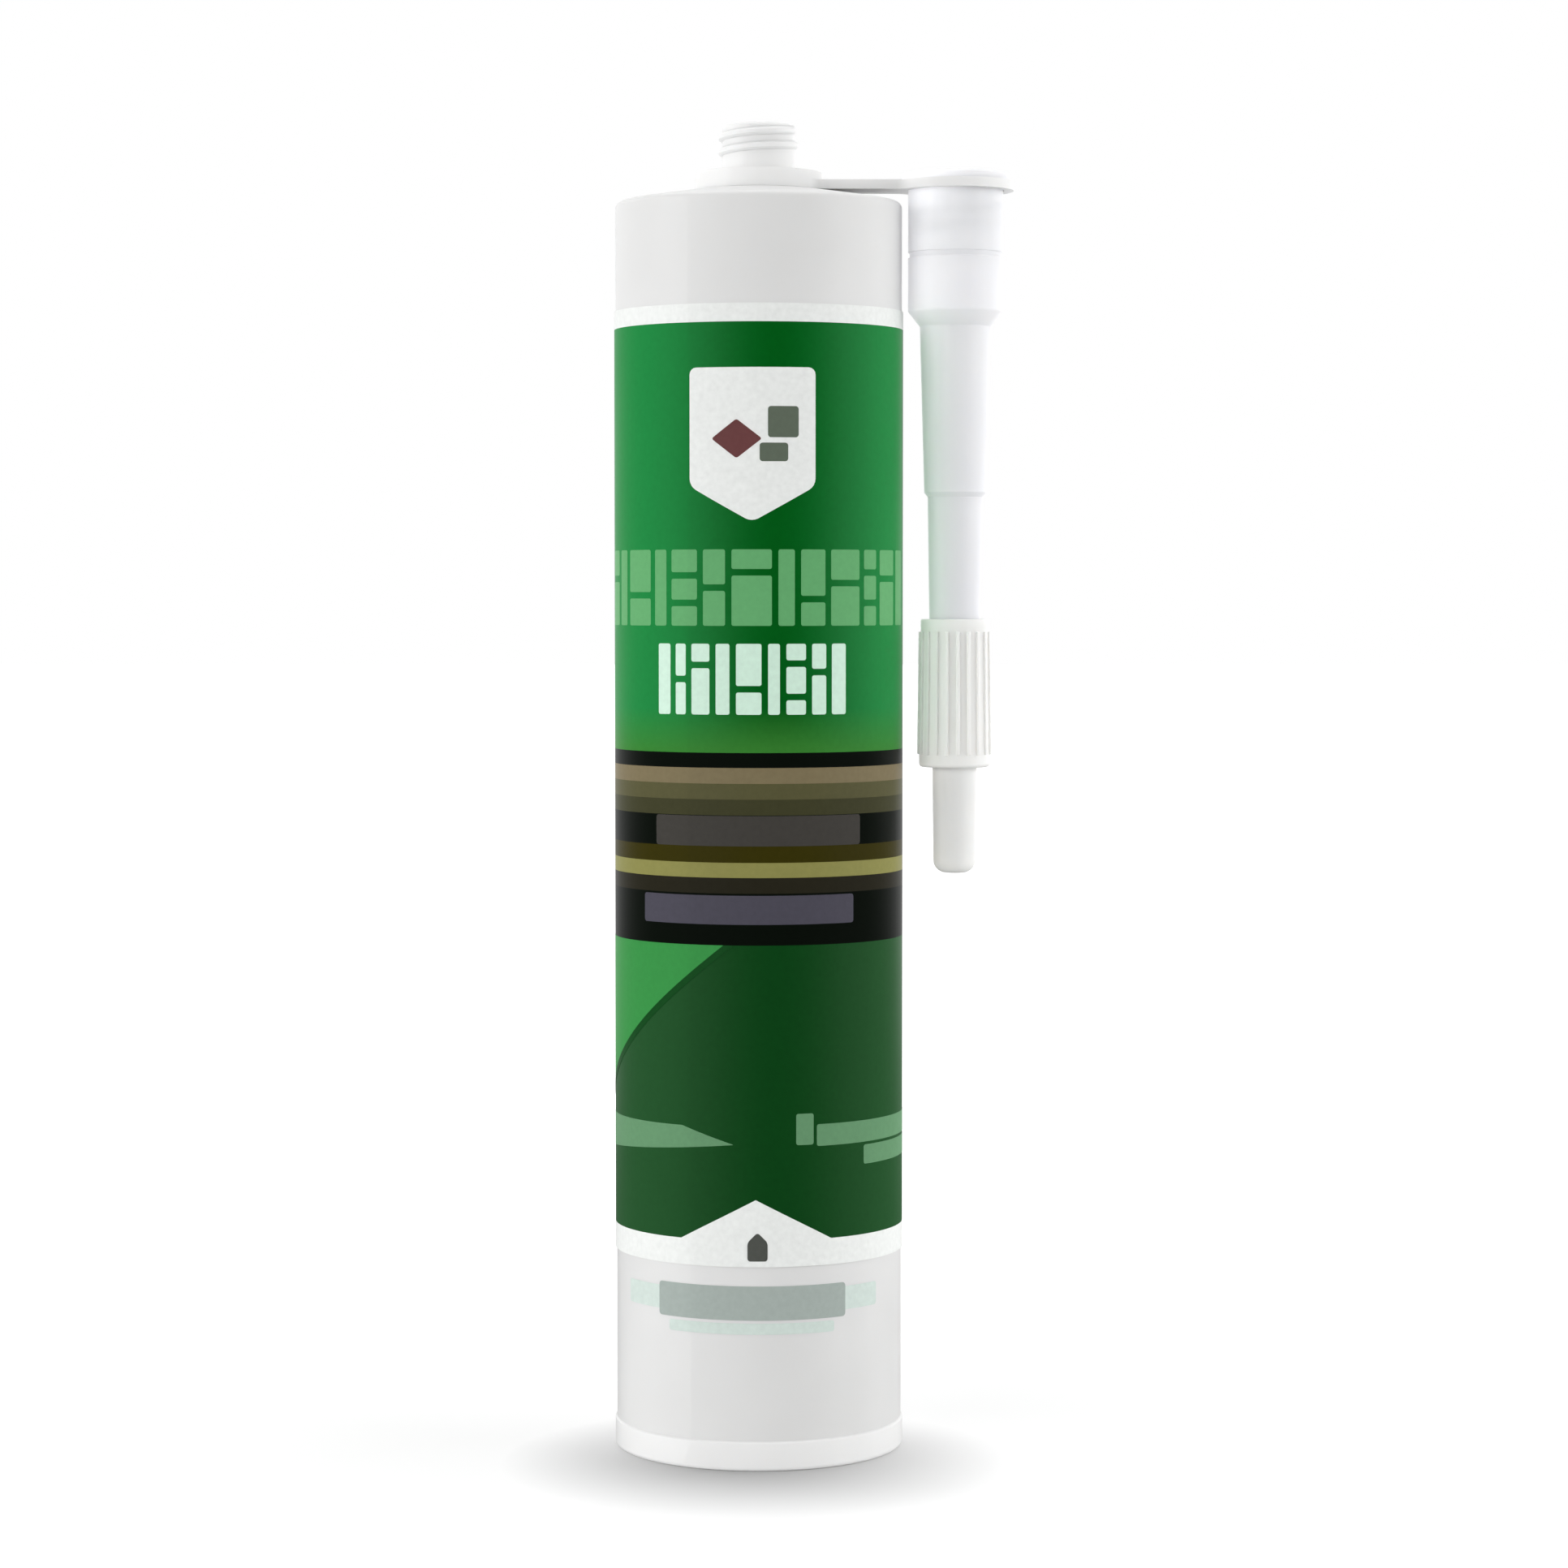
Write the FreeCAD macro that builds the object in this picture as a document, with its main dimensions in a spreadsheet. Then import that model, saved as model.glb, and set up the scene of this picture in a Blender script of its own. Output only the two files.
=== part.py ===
"""Caulk cartridge with its spare nozzle parked beside the barrel.

The barrel stands on its open mouth, with its axis on Z and the mouth's rim at zero height.
Inside it a cup-shaped piston carries the sealant. A flat holder turns about the neck and
carries the nozzle by its flange, tip down, with a closed cap pushed over the tip.
All sizes are in millimetres. Lengths along the nozzle run down from its flange.
"""
import FreeCAD, Part
import math
import os
import re
import Sketcher

SIZES = [
    ("barrel_radius", 24.75, "outside of the round barrel"),
    ("barrel_wall", 1.3, "wall of the barrel"),
    ("barrel_top", 215.5, "height of the shoulder's outer edge"),
    ("shoulder_rise", 2.1, "how far the shoulder climbs to the holder's seat"),
    ("shoulder_round", 1.1, "rounding of the shoulder's outer edge"),
    ("seat_radius", 11.6, "flat seat round the neck"),
    ("head_thickness", 1.7, "wall of the head"),
    ("mouth_relief", 0.25, "how much wider the mouth is than the bore"),
    ("mouth_depth", 9.0, "length of the wider mouth"),
    ("lip_height", 5.1, "height of the foot lip"),
    ("lip_proud", 0.3, "how far the foot lip stands out"),
    ("rim_round", 0.8, "rounding of the foot rim"),
    ("collar_radius", 7.25, "plain collar that the holder turns on"),
    ("collar_height", 3.5, "height of the plain collar"),
    ("neck_radius", 6.3, "core of the threaded neck"),
    ("neck_height", 11.4, "neck above the seat"),
    ("neck_wall", 1.7, "wall of the neck"),
    ("neck_cover", 1.2, "closed end of the neck"),
    ("neck_round", 0.6, "rounding of the neck's end"),
    ("thread_proud", 0.6, "how far the thread stands out of the core"),
    ("thread_pitch", 2.5, "pitch of the thread"),
    ("thread_root", 1.5, "width of the thread at its root"),
    ("thread_crest", 0.6, "width of the thread at its crest"),
    ("thread_start", 1.2, "thread's start above the collar"),
    ("thread_rise", 5.0, "climb of the thread"),
    ("crown_height", 34.6, "height of the piston's crown above the foot"),
    ("piston_length", 24.0, "piston from crown to skirt end"),
    ("piston_clearance", 0.06, "gap round the piston's sealing lips"),
    ("piston_waist", 0.5, "how far the skirt is set in between its lips"),
    ("piston_wall", 1.9, "wall of the piston's skirt"),
    ("crown_thickness", 2.4, "wall of the piston's crown"),
    ("crown_bevel", 1.5, "bevel round the crown"),
    ("lip_length", 2.2, "length of each sealing lip"),
    ("boss_radius", 6.0, "boss under the crown"),
    ("boss_wall", 1.5, "wall of the boss"),
    ("boss_length", 3.6, "boss below the crown"),
    ("web_thickness", 1.4, "radial webs under the crown"),
    ("web_length", 3.0, "webs below the crown"),
    ("web_count", 8, "number of webs"),
    ("fill_clearance", 0.1, "gap round the sealant"),
    ("label_thickness", 0.12, "printed film"),
    ("glue_thickness", 0.1, "adhesive under the film"),
    ("label_bottom", 34.8, "height of the film's lower edge"),
    ("label_margin", 18.7, "bare barrel between the film and the shoulder's edge"),
    ("seam_gap", 0.7, "open seam of the film at the back"),
    ("holder_play", 0.1, "gap under the holder"),
    ("hub_clearance", 0.06, "gap between the holder's hub and the collar"),
    ("hub_radius", 10.9, "outside of the holder's hub"),
    ("hub_length", 3.1, "height of the holder's hub"),
    ("plate_thickness", 1.6, "holder's plate"),
    ("strap_width", 9.5, "holder's strap between its two rings"),
    ("strap_round", 3.0, "rounding where the strap meets the rings"),
    ("nozzle_gap", 1.05, "gap between the barrel and the nozzle's base"),
    ("ring_wall", 1.7, "holder's ring round the nozzle"),
    ("ring_clearance", 0.15, "gap between the holder's ring and the nozzle"),
    ("flange_overlap", 1.0, "how far the flange lies on the ring"),
    ("flange_thickness", 1.4, "nozzle's flange"),
    ("flange_round", 0.5, "rounding of the flange's upper edge"),
    ("base_radius", 8.2, "nozzle's threaded base"),
    ("base_length", 22.3, "length of the base below the flange"),
    ("base_groove_start", 12.2, "groove in the base below the flange"),
    ("base_groove_width", 0.9, "width of that groove"),
    ("base_groove_depth", 0.3, "depth of that groove"),
    ("base_taper", 2.6, "taper from the base to the spout"),
    ("socket_radius", 7.3, "thread socket in the base"),
    ("socket_depth", 15.0, "depth of that socket below the flange"),
    ("upper_start_radius", 6.15, "upper spout under the base"),
    ("upper_end_radius", 5.35, "upper spout at its end"),
    ("upper_length", 28.6, "length of the upper spout"),
    ("step_length", 0.8, "each step of the spout"),
    ("lower_start_radius", 4.75, "lower spout at its start"),
    ("lower_end_radius", 4.05, "lower spout at its end"),
    ("lower_length", 45.5, "length of the lower spout"),
    ("tip_start_radius", 2.75, "tip at its start"),
    ("tip_end_radius", 2.35, "tip at its end"),
    ("tip_length", 15.2, "length of the tip"),
    ("nozzle_wall", 1.15, "wall of the spout"),
    ("cap_clearance", 0.15, "gap between the cap and the spout"),
    ("cap_grip", 24.4, "length of spout inside the cap's wide part"),
    ("cap_rim_radius", 5.9, "cap's wide part at its open rim"),
    ("cap_heel_radius", 6.2, "cap's wide part at its lower end"),
    ("cap_wall", 1.1, "cap's lower wall"),
    ("cap_end_radius", 3.65, "cap's slender end"),
    ("cap_end_taper", 0.2, "how much wider the slender end starts"),
    ("cap_end_length", 18.4, "length of the slender end"),
    ("cap_end_round", 2.2, "rounding of the slender end"),
    ("cap_heel_round", 0.7, "rounding of the wide part's lower edge"),
    ("rib_proud", 0.35, "how far each grip rib stands out"),
    ("rib_width", 0.7, "width of each grip rib"),
    ("rib_margin", 2.2, "plain band at each end of the ribs"),
    ("rib_count", 20, "number of grip ribs"),
]

# Places and sizes that follow from the ones above.
DERIVED = {
    "bore_radius": "(barrel_radius - barrel_wall)",
    "mouth_radius": "(bore_radius + mouth_relief)",
    "seat_height": "(barrel_top + shoulder_rise)",
    "collar_top": "(seat_height + collar_height)",
    "neck_top": "(seat_height + neck_height)",
    "neck_bore": "(neck_radius - neck_wall)",
    "head_inside": "(barrel_top - head_thickness)",
    "seat_inside": "(seat_height - head_thickness)",
    "thread_bottom": "(collar_top + thread_start)",
    "lip_radius": "(bore_radius - piston_clearance)",
    "waist_radius": "(lip_radius - piston_waist)",
    "cup_radius": "(waist_radius - piston_wall)",
    "film_inside": "(barrel_radius + glue_thickness)",
    "film_top": "(barrel_top - label_margin)",
    "nozzle_offset": "(barrel_radius + nozzle_gap + base_radius)",
    "holder_base": "(seat_height + holder_play)",
    "plate_top": "(holder_base + plate_thickness)",
    "ring_bore": "(base_radius + ring_clearance)",
    "ring_radius": "(ring_bore + ring_wall)",
    "flange_radius": "(ring_bore + flange_overlap)",
    "upper_start": "(base_length + base_taper)",
    "upper_end": "(upper_start + upper_length)",
    "lower_start": "(upper_end + step_length)",
    "lower_end": "(lower_start + lower_length)",
    "tip_start": "(lower_end + step_length)",
    "tip_end": "(tip_start + tip_length)",
    "lower_slope": "((lower_start_radius - lower_end_radius) / lower_length)",
    "cap_rim": "(lower_end - cap_grip)",
    "cap_floor": "(lower_end + cap_clearance)",
    "cap_heel": "(cap_floor + cap_wall)",
    "cap_rim_bore": "(lower_end_radius + lower_slope * cap_grip + cap_clearance)",
    "cap_floor_bore": "(lower_end_radius + cap_clearance)",
    "cap_tip_bore": "(tip_start_radius + cap_clearance)",
    "cap_end": "(cap_heel + cap_end_length)",
}

CELLS = {alias for alias, number, meaning in SIZES}
WORD = re.compile(r"[a-z_]+")
SAME_PLACE = 1e-4


def formula(text):
    """An expression on the sheet's cells, with the derived names written out."""
    while any(word in DERIVED for word in WORD.findall(text)):
        text = WORD.sub(lambda found: DERIVED.get(found.group(), found.group()), text)
    return WORD.sub(
        lambda found: "Sizes." + found.group() if found.group() in CELLS else found.group(), text
    )


def make_sheet(document):
    """The sheet of driving sizes: an alias, a number and what it measures on each row."""
    sheet = document.addObject("Spreadsheet::Sheet", "Sizes")
    for row, (alias, number, meaning) in enumerate(SIZES, start=1):
        sheet.set(f"A{row}", str(number))
        sheet.setAlias(f"A{row}", alias)
        sheet.set(f"B{row}", meaning)
    document.recompute()
    return sheet


def new_body(document, label, along_x="", up=""):
    """A body with its own label, placed by formulas along X and up."""
    body = document.addObject("PartDesign::Body", label)
    body.Label = label
    if along_x:
        body.setExpression("Placement.Base.x", formula(along_x))
    if up:
        body.setExpression("Placement.Base.z", formula(up))
    return body


def new_sketch(body, name, role):
    """An empty sketch on one of the body's own origin planes."""
    sketch = body.newObject("Sketcher::SketchObject", name)
    plane = next(item for item in body.Origin.OriginFeatures if item.Role == role)
    sketch.AttachmentSupport = [(plane, "")]
    sketch.MapMode = "FlatFace"
    return sketch


def bind(sketch, constraint, text):
    """Add a constraint whose value is a formula on the sheet."""
    index = sketch.addConstraint(constraint)
    sketch.setExpression(f"Constraints[{index}]", formula(text))


def draw_outline(sketch, corners):
    """A closed outline of straight edges, each corner held by two formulas."""
    count = len(corners)
    start = [
        FreeCAD.Vector(math.cos(math.tau * turn / count), math.sin(math.tau * turn / count), 0)
        for turn in range(count)
    ]
    for index in range(count):
        sketch.addGeometry(Part.LineSegment(start[index], start[(index + 1) % count]))
    for index in range(count):
        sketch.addConstraint(Sketcher.Constraint("Coincident", index, 2, (index + 1) % count, 1))
    for index, (across, up) in enumerate(corners):
        bind(sketch, Sketcher.Constraint("DistanceX", -1, 1, index, 1, start[index].x), across)
        bind(sketch, Sketcher.Constraint("DistanceY", -1, 1, index, 1, start[index].y), up)


def draw_circle(sketch, across, radius):
    """A circle on the sketch's horizontal axis, placed and sized by formulas."""
    index = sketch.addGeometry(Part.Circle(FreeCAD.Vector(1, 0, 0), FreeCAD.Vector(0, 0, 1), 1))
    sketch.addConstraint(Sketcher.Constraint("PointOnObject", index, 3, -1))
    bind(sketch, Sketcher.Constraint("DistanceX", -1, 1, index, 3, 1), across)
    bind(sketch, Sketcher.Constraint("Radius", index, 1), radius)


def turn_outline(body, name, corners, open_angle=""):
    """Turn an outline about the body's Z axis, all round or with an open seam."""
    sketch = new_sketch(body, name + "_outline", "XZ_Plane")
    draw_outline(sketch, list(corners.values()))
    solid = body.newObject("PartDesign::Revolution", name)
    solid.Profile = sketch
    solid.ReferenceAxis = (sketch, ["V_Axis"])
    solid.Midplane = True
    if open_angle:
        solid.setExpression("Angle", formula("360 deg - " + open_angle))
    else:
        solid.Angle = 360
    body.Document.recompute()
    return solid


def rings_at(shape, solid, corners, names):
    """The circular edges of a shape that lie at the named corners of a turned outline."""
    sketch = solid.Profile[0]
    places = [sketch.getPoint(list(corners).index(name), 1) for name in names]
    found = []
    for number, edge in enumerate(shape.Edges, start=1):
        if not isinstance(edge.Curve, Part.Circle):
            continue
        across = edge.Curve.Radius
        up = edge.Curve.Center.z
        if any(math.hypot(across - place.x, up - place.y) < SAME_PLACE for place in places):
            found.append(f"Edge{number}")
    return found


def round_edges(body, base, name, edges, radius):
    """Round the given edges of a feature by a formula."""
    rounding = body.newObject("PartDesign::Fillet", name)
    rounding.Base = (base, edges)
    rounding.setExpression("Radius", formula(radius))
    body.Document.recompute()
    return rounding


def round_corners(body, solid, corners, roundings):
    """Round a turned outline's corners in turn, each by its own formula."""
    last = solid
    for name, radius in roundings.items():
        edges = rings_at(last.Shape, solid, corners, [name])
        last = round_edges(body, last, name + "_rounding", edges, radius)
    return last


def pad_sketch(body, name, sketch, length, middle=False):
    """Pad a sketch along its normal, or half to each side of its plane."""
    pad = body.newObject("PartDesign::Pad", name)
    pad.Profile = sketch
    pad.Midplane = middle
    pad.setExpression("Length", formula(length))
    body.Document.recompute()
    return pad


def repeat_round(body, name, feature, count):
    """Repeat a feature evenly about the body's Z axis."""
    axis = next(item for item in body.Origin.OriginFeatures if item.Role == "Z_Axis")
    pattern = body.newObject("PartDesign::PolarPattern", name)
    pattern.Originals = [feature]
    pattern.Axis = (axis, [""])
    pattern.Angle = 360
    pattern.setExpression("Occurrences", formula(count))
    body.Tip = pattern
    body.Document.recompute()
    return pattern


def make_cartridge_body(document):
    """Barrel, head and closed threaded neck, moulded as one piece and open at the foot."""
    body = new_body(document, "cartridge_body")
    corners = {
        "mouth": ("mouth_radius", "0"),
        "foot": ("barrel_radius + lip_proud", "0"),
        "lip": ("barrel_radius + lip_proud", "lip_height - lip_proud"),
        "wall": ("barrel_radius", "lip_height"),
        "shoulder": ("barrel_radius", "barrel_top"),
        "seat": ("seat_radius", "seat_height"),
        "collar_foot": ("collar_radius", "seat_height"),
        "collar": ("collar_radius", "collar_top"),
        "neck_foot": ("neck_radius", "collar_top"),
        "neck_end": ("neck_radius", "neck_top"),
        "centre": ("0", "neck_top"),
        "cover": ("0", "neck_top - neck_cover"),
        "neck_inside": ("neck_bore", "neck_top - neck_cover"),
        "neck_mouth": ("neck_bore", "seat_inside"),
        "seat_inside": ("seat_radius", "seat_inside"),
        "head_edge": ("bore_radius", "head_inside"),
        "bore_end": ("bore_radius", "mouth_depth"),
        "relief": ("mouth_radius", "mouth_depth - mouth_relief"),
    }
    shell = turn_outline(body, "shell", corners)
    round_corners(body, shell, corners, {
        "shoulder": "shoulder_round",
        "foot": "rim_round",
        "neck_end": "neck_round",
    })
    crest = "neck_radius + thread_proud"
    root = "neck_radius - thread_proud / 2"
    outline = new_sketch(body, "thread_outline", "XZ_Plane")
    draw_outline(outline, [
        (root, "thread_bottom"),
        ("neck_radius", "thread_bottom"),
        (crest, "thread_bottom + (thread_root - thread_crest) / 2"),
        (crest, "thread_bottom + (thread_root + thread_crest) / 2"),
        ("neck_radius", "thread_bottom + thread_root"),
        (root, "thread_bottom + thread_root"),
    ])
    document.recompute()
    thread = body.newObject("PartDesign::AdditiveHelix", "thread")
    thread.Profile = outline
    thread.ReferenceAxis = (outline, ["V_Axis"])
    thread.Mode = "pitch-height-angle"
    thread.setExpression("Pitch", formula("thread_pitch"))
    thread.setExpression("Height", formula("thread_rise"))
    return body


def make_piston(document):
    """Cup-shaped piston, open towards the mouth, with two sealing lips and webs inside."""
    body = new_body(document, "piston", up="crown_height")
    corners = {
        "centre": ("0", "0"),
        "crown": ("lip_radius - crown_bevel", "0"),
        "upper_lip": ("lip_radius", "-crown_bevel"),
        "upper_lip_end": ("lip_radius", "-crown_bevel - lip_length"),
        "waist": ("waist_radius", "-crown_bevel - lip_length - piston_waist"),
        "waist_end": ("waist_radius", "-piston_length + lip_length + piston_waist"),
        "lower_lip": ("lip_radius", "-piston_length + lip_length"),
        "lower_lip_end": ("lip_radius", "-piston_length"),
        "skirt_inside": ("cup_radius", "-piston_length"),
        "cup_corner": ("cup_radius", "-crown_thickness"),
        "boss_foot": ("boss_radius", "-crown_thickness"),
        "boss_end": ("boss_radius", "-crown_thickness - boss_length"),
        "boss_bore": ("boss_radius - boss_wall", "-crown_thickness - boss_length"),
        "boss_bore_foot": ("boss_radius - boss_wall", "-crown_thickness"),
        "crown_inside": ("0", "-crown_thickness"),
    }
    cup = turn_outline(body, "cup", corners)
    round_corners(body, cup, corners, {"cup_corner": "piston_wall / 2"})
    inner = "boss_radius - boss_wall / 2"
    outer = "cup_radius + piston_wall / 2"
    outline = new_sketch(body, "web_outline", "XZ_Plane")
    draw_outline(outline, [
        (inner, "-crown_thickness / 2"),
        (outer, "-crown_thickness / 2"),
        (outer, "-crown_thickness - web_length"),
        (inner, "-crown_thickness - web_length"),
    ])
    web = pad_sketch(body, "web", outline, "web_thickness", middle=True)
    repeat_round(body, "webs", web, "web_count")
    return body


def make_sealant_fill(document):
    """The sealant between the piston's crown and the head."""
    body = new_body(document, "sealant_fill")
    turn_outline(body, "column", {
        "centre": ("0", "crown_height"),
        "crown_edge": ("bore_radius - fill_clearance - crown_bevel", "crown_height"),
        "bore_edge": ("bore_radius - fill_clearance", "crown_height + fill_clearance"),
        "head_edge": ("bore_radius - fill_clearance", "head_inside - fill_clearance"),
        "seat_edge": ("seat_radius", "seat_inside - fill_clearance"),
        "top": ("0", "seat_inside - fill_clearance"),
    })
    return body


def make_printed_label(document):
    """Thin printed film round the barrel, with its open seam at the back."""
    body = new_body(document, "printed_label")
    body.Placement.Rotation = FreeCAD.Rotation(FreeCAD.Vector(0, 0, 1), -90)
    turn_outline(body, "film", {
        "inner_foot": ("film_inside", "label_bottom"),
        "outer_foot": ("film_inside + label_thickness", "label_bottom"),
        "outer_top": ("film_inside + label_thickness", "film_top"),
        "inner_top": ("film_inside", "film_top"),
    }, open_angle="2 * asin(seam_gap / 2 / film_inside)")
    return body


def make_nozzle_holder(document):
    """Flat plate with a hub that turns on the collar and a ring that carries the nozzle."""
    body = new_body(document, "nozzle_holder", up="holder_base")
    hub_outline = new_sketch(body, "hub_outline", "XY_Plane")
    draw_circle(hub_outline, "0", "hub_radius")
    pad_sketch(body, "hub", hub_outline, "hub_length")
    ring_outline = new_sketch(body, "ring_outline", "XY_Plane")
    draw_circle(ring_outline, "nozzle_offset", "ring_radius")
    pad_sketch(body, "ring", ring_outline, "plate_thickness")
    strap_outline = new_sketch(body, "strap_outline", "XY_Plane")
    draw_outline(strap_outline, [
        ("0", "-strap_width / 2"),
        ("nozzle_offset", "-strap_width / 2"),
        ("nozzle_offset", "strap_width / 2"),
        ("0", "strap_width / 2"),
    ])
    strap = pad_sketch(body, "strap", strap_outline, "plate_thickness")
    half_width = strap_outline.getPoint(2, 1).y
    inner_corners = [
        f"Edge{number}"
        for number, edge in enumerate(strap.Shape.Edges, start=1)
        if abs(abs(edge.CenterOfMass.y) - half_width) < SAME_PLACE
        and edge.BoundBox.XLength < SAME_PLACE
        and edge.BoundBox.ZLength > SAME_PLACE
    ]
    plate = round_edges(body, strap, "strap_corners", inner_corners, "strap_round")
    bore_outline = new_sketch(body, "bore_outline", "XY_Plane")
    draw_circle(bore_outline, "0", "collar_radius + hub_clearance")
    draw_circle(bore_outline, "nozzle_offset", "ring_bore")
    bores = body.newObject("PartDesign::Pocket", "bores")
    bores.Profile = bore_outline
    bores.Type = "ThroughAll"
    bores.Midplane = True
    document.recompute()
    if not bores.Shape.Volume < plate.Shape.Volume:
        raise RuntimeError("the holder's bores cut nothing")
    return body


def make_nozzle(document):
    """Hollow stepped nozzle: flange, threaded base, upper and lower spout and open tip."""
    body = new_body(document, "nozzle", along_x="nozzle_offset", up="plate_top")
    corners = {
        "mouth": ("socket_radius", "flange_thickness"),
        "flange_top": ("flange_radius", "flange_thickness"),
        "flange_foot": ("flange_radius", "0"),
        "base_head": ("base_radius", "0"),
        "groove_lip": ("base_radius", "-base_groove_start"),
        "groove": ("base_radius - base_groove_depth", "-base_groove_start"),
        "groove_end": ("base_radius - base_groove_depth", "-base_groove_start - base_groove_width"),
        "groove_heel": ("base_radius", "-base_groove_start - base_groove_width"),
        "base_heel": ("base_radius", "-base_length"),
        "upper_head": ("upper_start_radius", "-upper_start"),
        "upper_heel": ("upper_end_radius", "-upper_end"),
        "lower_head": ("lower_start_radius", "-lower_start"),
        "lower_heel": ("lower_end_radius", "-lower_end"),
        "tip_head": ("tip_start_radius", "-tip_start"),
        "tip_heel": ("tip_end_radius", "-tip_end"),
        "tip_bore": ("tip_end_radius - nozzle_wall", "-tip_end"),
        "tip_inside": ("tip_start_radius - nozzle_wall", "-tip_start"),
        "lower_inside": ("lower_end_radius - nozzle_wall", "-lower_end + step_length"),
        "lower_top": ("lower_start_radius - nozzle_wall", "-lower_start"),
        "upper_inside": ("upper_end_radius - nozzle_wall", "-upper_end + step_length"),
        "upper_top": ("upper_start_radius - nozzle_wall", "-upper_start"),
        "socket_edge": ("upper_start_radius", "-socket_depth"),
        "socket_floor": ("socket_radius", "-socket_depth"),
    }
    shell = turn_outline(body, "spout", corners)
    round_corners(body, shell, corners, {
        "flange_top": "flange_round",
        "base_heel": "base_taper / 3",
        "tip_heel": "nozzle_wall / 3",
    })
    return body


def make_nozzle_cap(document):
    """Closed push-on cap: a ribbed wide part over the spout and a slender end over the tip."""
    body = new_body(document, "nozzle_cap", along_x="nozzle_offset", up="plate_top")
    corners = {
        "rim_bore": ("cap_rim_bore", "-cap_rim"),
        "rim": ("cap_rim_radius", "-cap_rim"),
        "heel": ("cap_heel_radius", "-cap_heel"),
        "end_head": ("cap_end_radius + cap_end_taper", "-cap_heel"),
        "end": ("cap_end_radius", "-cap_end"),
        "centre": ("0", "-cap_end"),
        "tip_floor": ("0", "-tip_end - cap_wall"),
        "tip_edge": ("tip_end_radius + cap_clearance", "-tip_end - cap_wall"),
        "tip_bore": ("cap_tip_bore", "-cap_floor - step_length"),
        "floor_bore": ("cap_floor_bore", "-cap_floor"),
    }
    shell = turn_outline(body, "cover", corners)
    round_corners(body, shell, corners, {"heel": "cap_heel_round", "end": "cap_end_round"})
    outline = new_sketch(body, "rib_outline", "XZ_Plane")
    inner = "cap_rim_radius - cap_wall / 2"
    draw_outline(outline, [
        (inner, "-cap_rim - rib_margin"),
        ("cap_rim_radius", "-cap_rim - rib_margin"),
        ("cap_rim_radius + rib_proud", "-cap_rim - rib_margin - rib_proud"),
        ("cap_heel_radius + rib_proud", "-cap_heel + rib_margin + rib_proud"),
        ("cap_heel_radius", "-cap_heel + rib_margin"),
        (inner, "-cap_heel + rib_margin"),
    ])
    rib = pad_sketch(body, "rib", outline, "rib_width", middle=True)
    repeat_round(body, "ribs", rib, "rib_count")
    return body


def check_model(document, bodies):
    """Stop if anything failed to build, or a sub-part isn't one good solid."""
    failed = [
        item.Name for item in document.Objects if {"Invalid", "Error"} & set(item.State)
    ]
    if failed:
        raise RuntimeError("these did not build: " + ", ".join(failed))
    for body in bodies:
        shape = body.Shape
        if shape.isNull() or not shape.isValid() or len(shape.Solids) != 1:
            raise RuntimeError(body.Label + " isn't one valid solid")


def main():
    """Build the document, check it and write each sub-part to its own file."""
    document = FreeCAD.newDocument("caulk_cartridge")
    make_sheet(document)
    bodies = [
        make_cartridge_body(document),
        make_piston(document),
        make_sealant_fill(document),
        make_printed_label(document),
        make_nozzle_holder(document),
        make_nozzle(document),
        make_nozzle_cap(document),
    ]
    document.recompute()
    check_model(document, bodies)
    os.makedirs("parts", exist_ok=True)
    for body in bodies:
        body.Shape.exportStep(f"parts/{body.Label}.step")
        box = body.Shape.BoundBox
        print(
            f"{body.Label}: {body.Shape.Volume:.0f} mm3,"
            f" z {box.ZMin:.2f} to {box.ZMax:.2f}"
        )


main()
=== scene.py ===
"""Looks of a caulk cartridge: a milky barrel in printed film, its piston and a parked nozzle.

Lengths are in metres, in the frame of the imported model: Z runs up the barrel's axis from the
foot, -Y faces the front of the print and +X points to the parked nozzle. Only the print's
shapes, fields and stripes are given in millimetres, unrolled: the arc from the front and the
height above the foot.
"""
import functools
import logging
import math
from dataclasses import dataclass
from enum import Enum

import bpy
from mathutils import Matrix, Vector


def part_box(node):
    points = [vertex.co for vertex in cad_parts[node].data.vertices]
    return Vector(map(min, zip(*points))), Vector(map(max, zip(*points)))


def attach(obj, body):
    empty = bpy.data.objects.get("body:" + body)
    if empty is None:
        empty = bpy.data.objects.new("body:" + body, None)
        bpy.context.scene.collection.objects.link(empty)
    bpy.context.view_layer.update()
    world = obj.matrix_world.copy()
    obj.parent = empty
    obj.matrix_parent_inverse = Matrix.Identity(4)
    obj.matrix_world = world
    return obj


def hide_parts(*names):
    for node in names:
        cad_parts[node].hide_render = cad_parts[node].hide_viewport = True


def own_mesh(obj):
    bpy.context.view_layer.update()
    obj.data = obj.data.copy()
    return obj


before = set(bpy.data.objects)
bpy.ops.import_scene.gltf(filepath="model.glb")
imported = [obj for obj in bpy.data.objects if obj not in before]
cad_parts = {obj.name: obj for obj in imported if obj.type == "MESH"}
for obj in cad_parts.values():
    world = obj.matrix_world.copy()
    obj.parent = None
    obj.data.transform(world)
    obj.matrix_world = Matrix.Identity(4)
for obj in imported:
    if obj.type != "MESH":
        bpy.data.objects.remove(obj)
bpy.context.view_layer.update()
LOG = logging.getLogger("cartridge")

Colour = tuple[float, float, float]
Point = tuple[float, float, float]
Piece = bpy.types.Object
Node = bpy.types.Node
Socket = bpy.types.NodeSocket
Value = Socket | float | tuple

MM = 0.001
MERGE_DISTANCE = 0.001 * MM
SMOOTH_ANGLE = math.radians(32)
ARC_STEPS = 5
THREAD_SINK = 0.12 * MM
FILM_RADIUS = 24.97 * MM
WHITE: Colour = (1.0, 1.0, 1.0)

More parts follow.
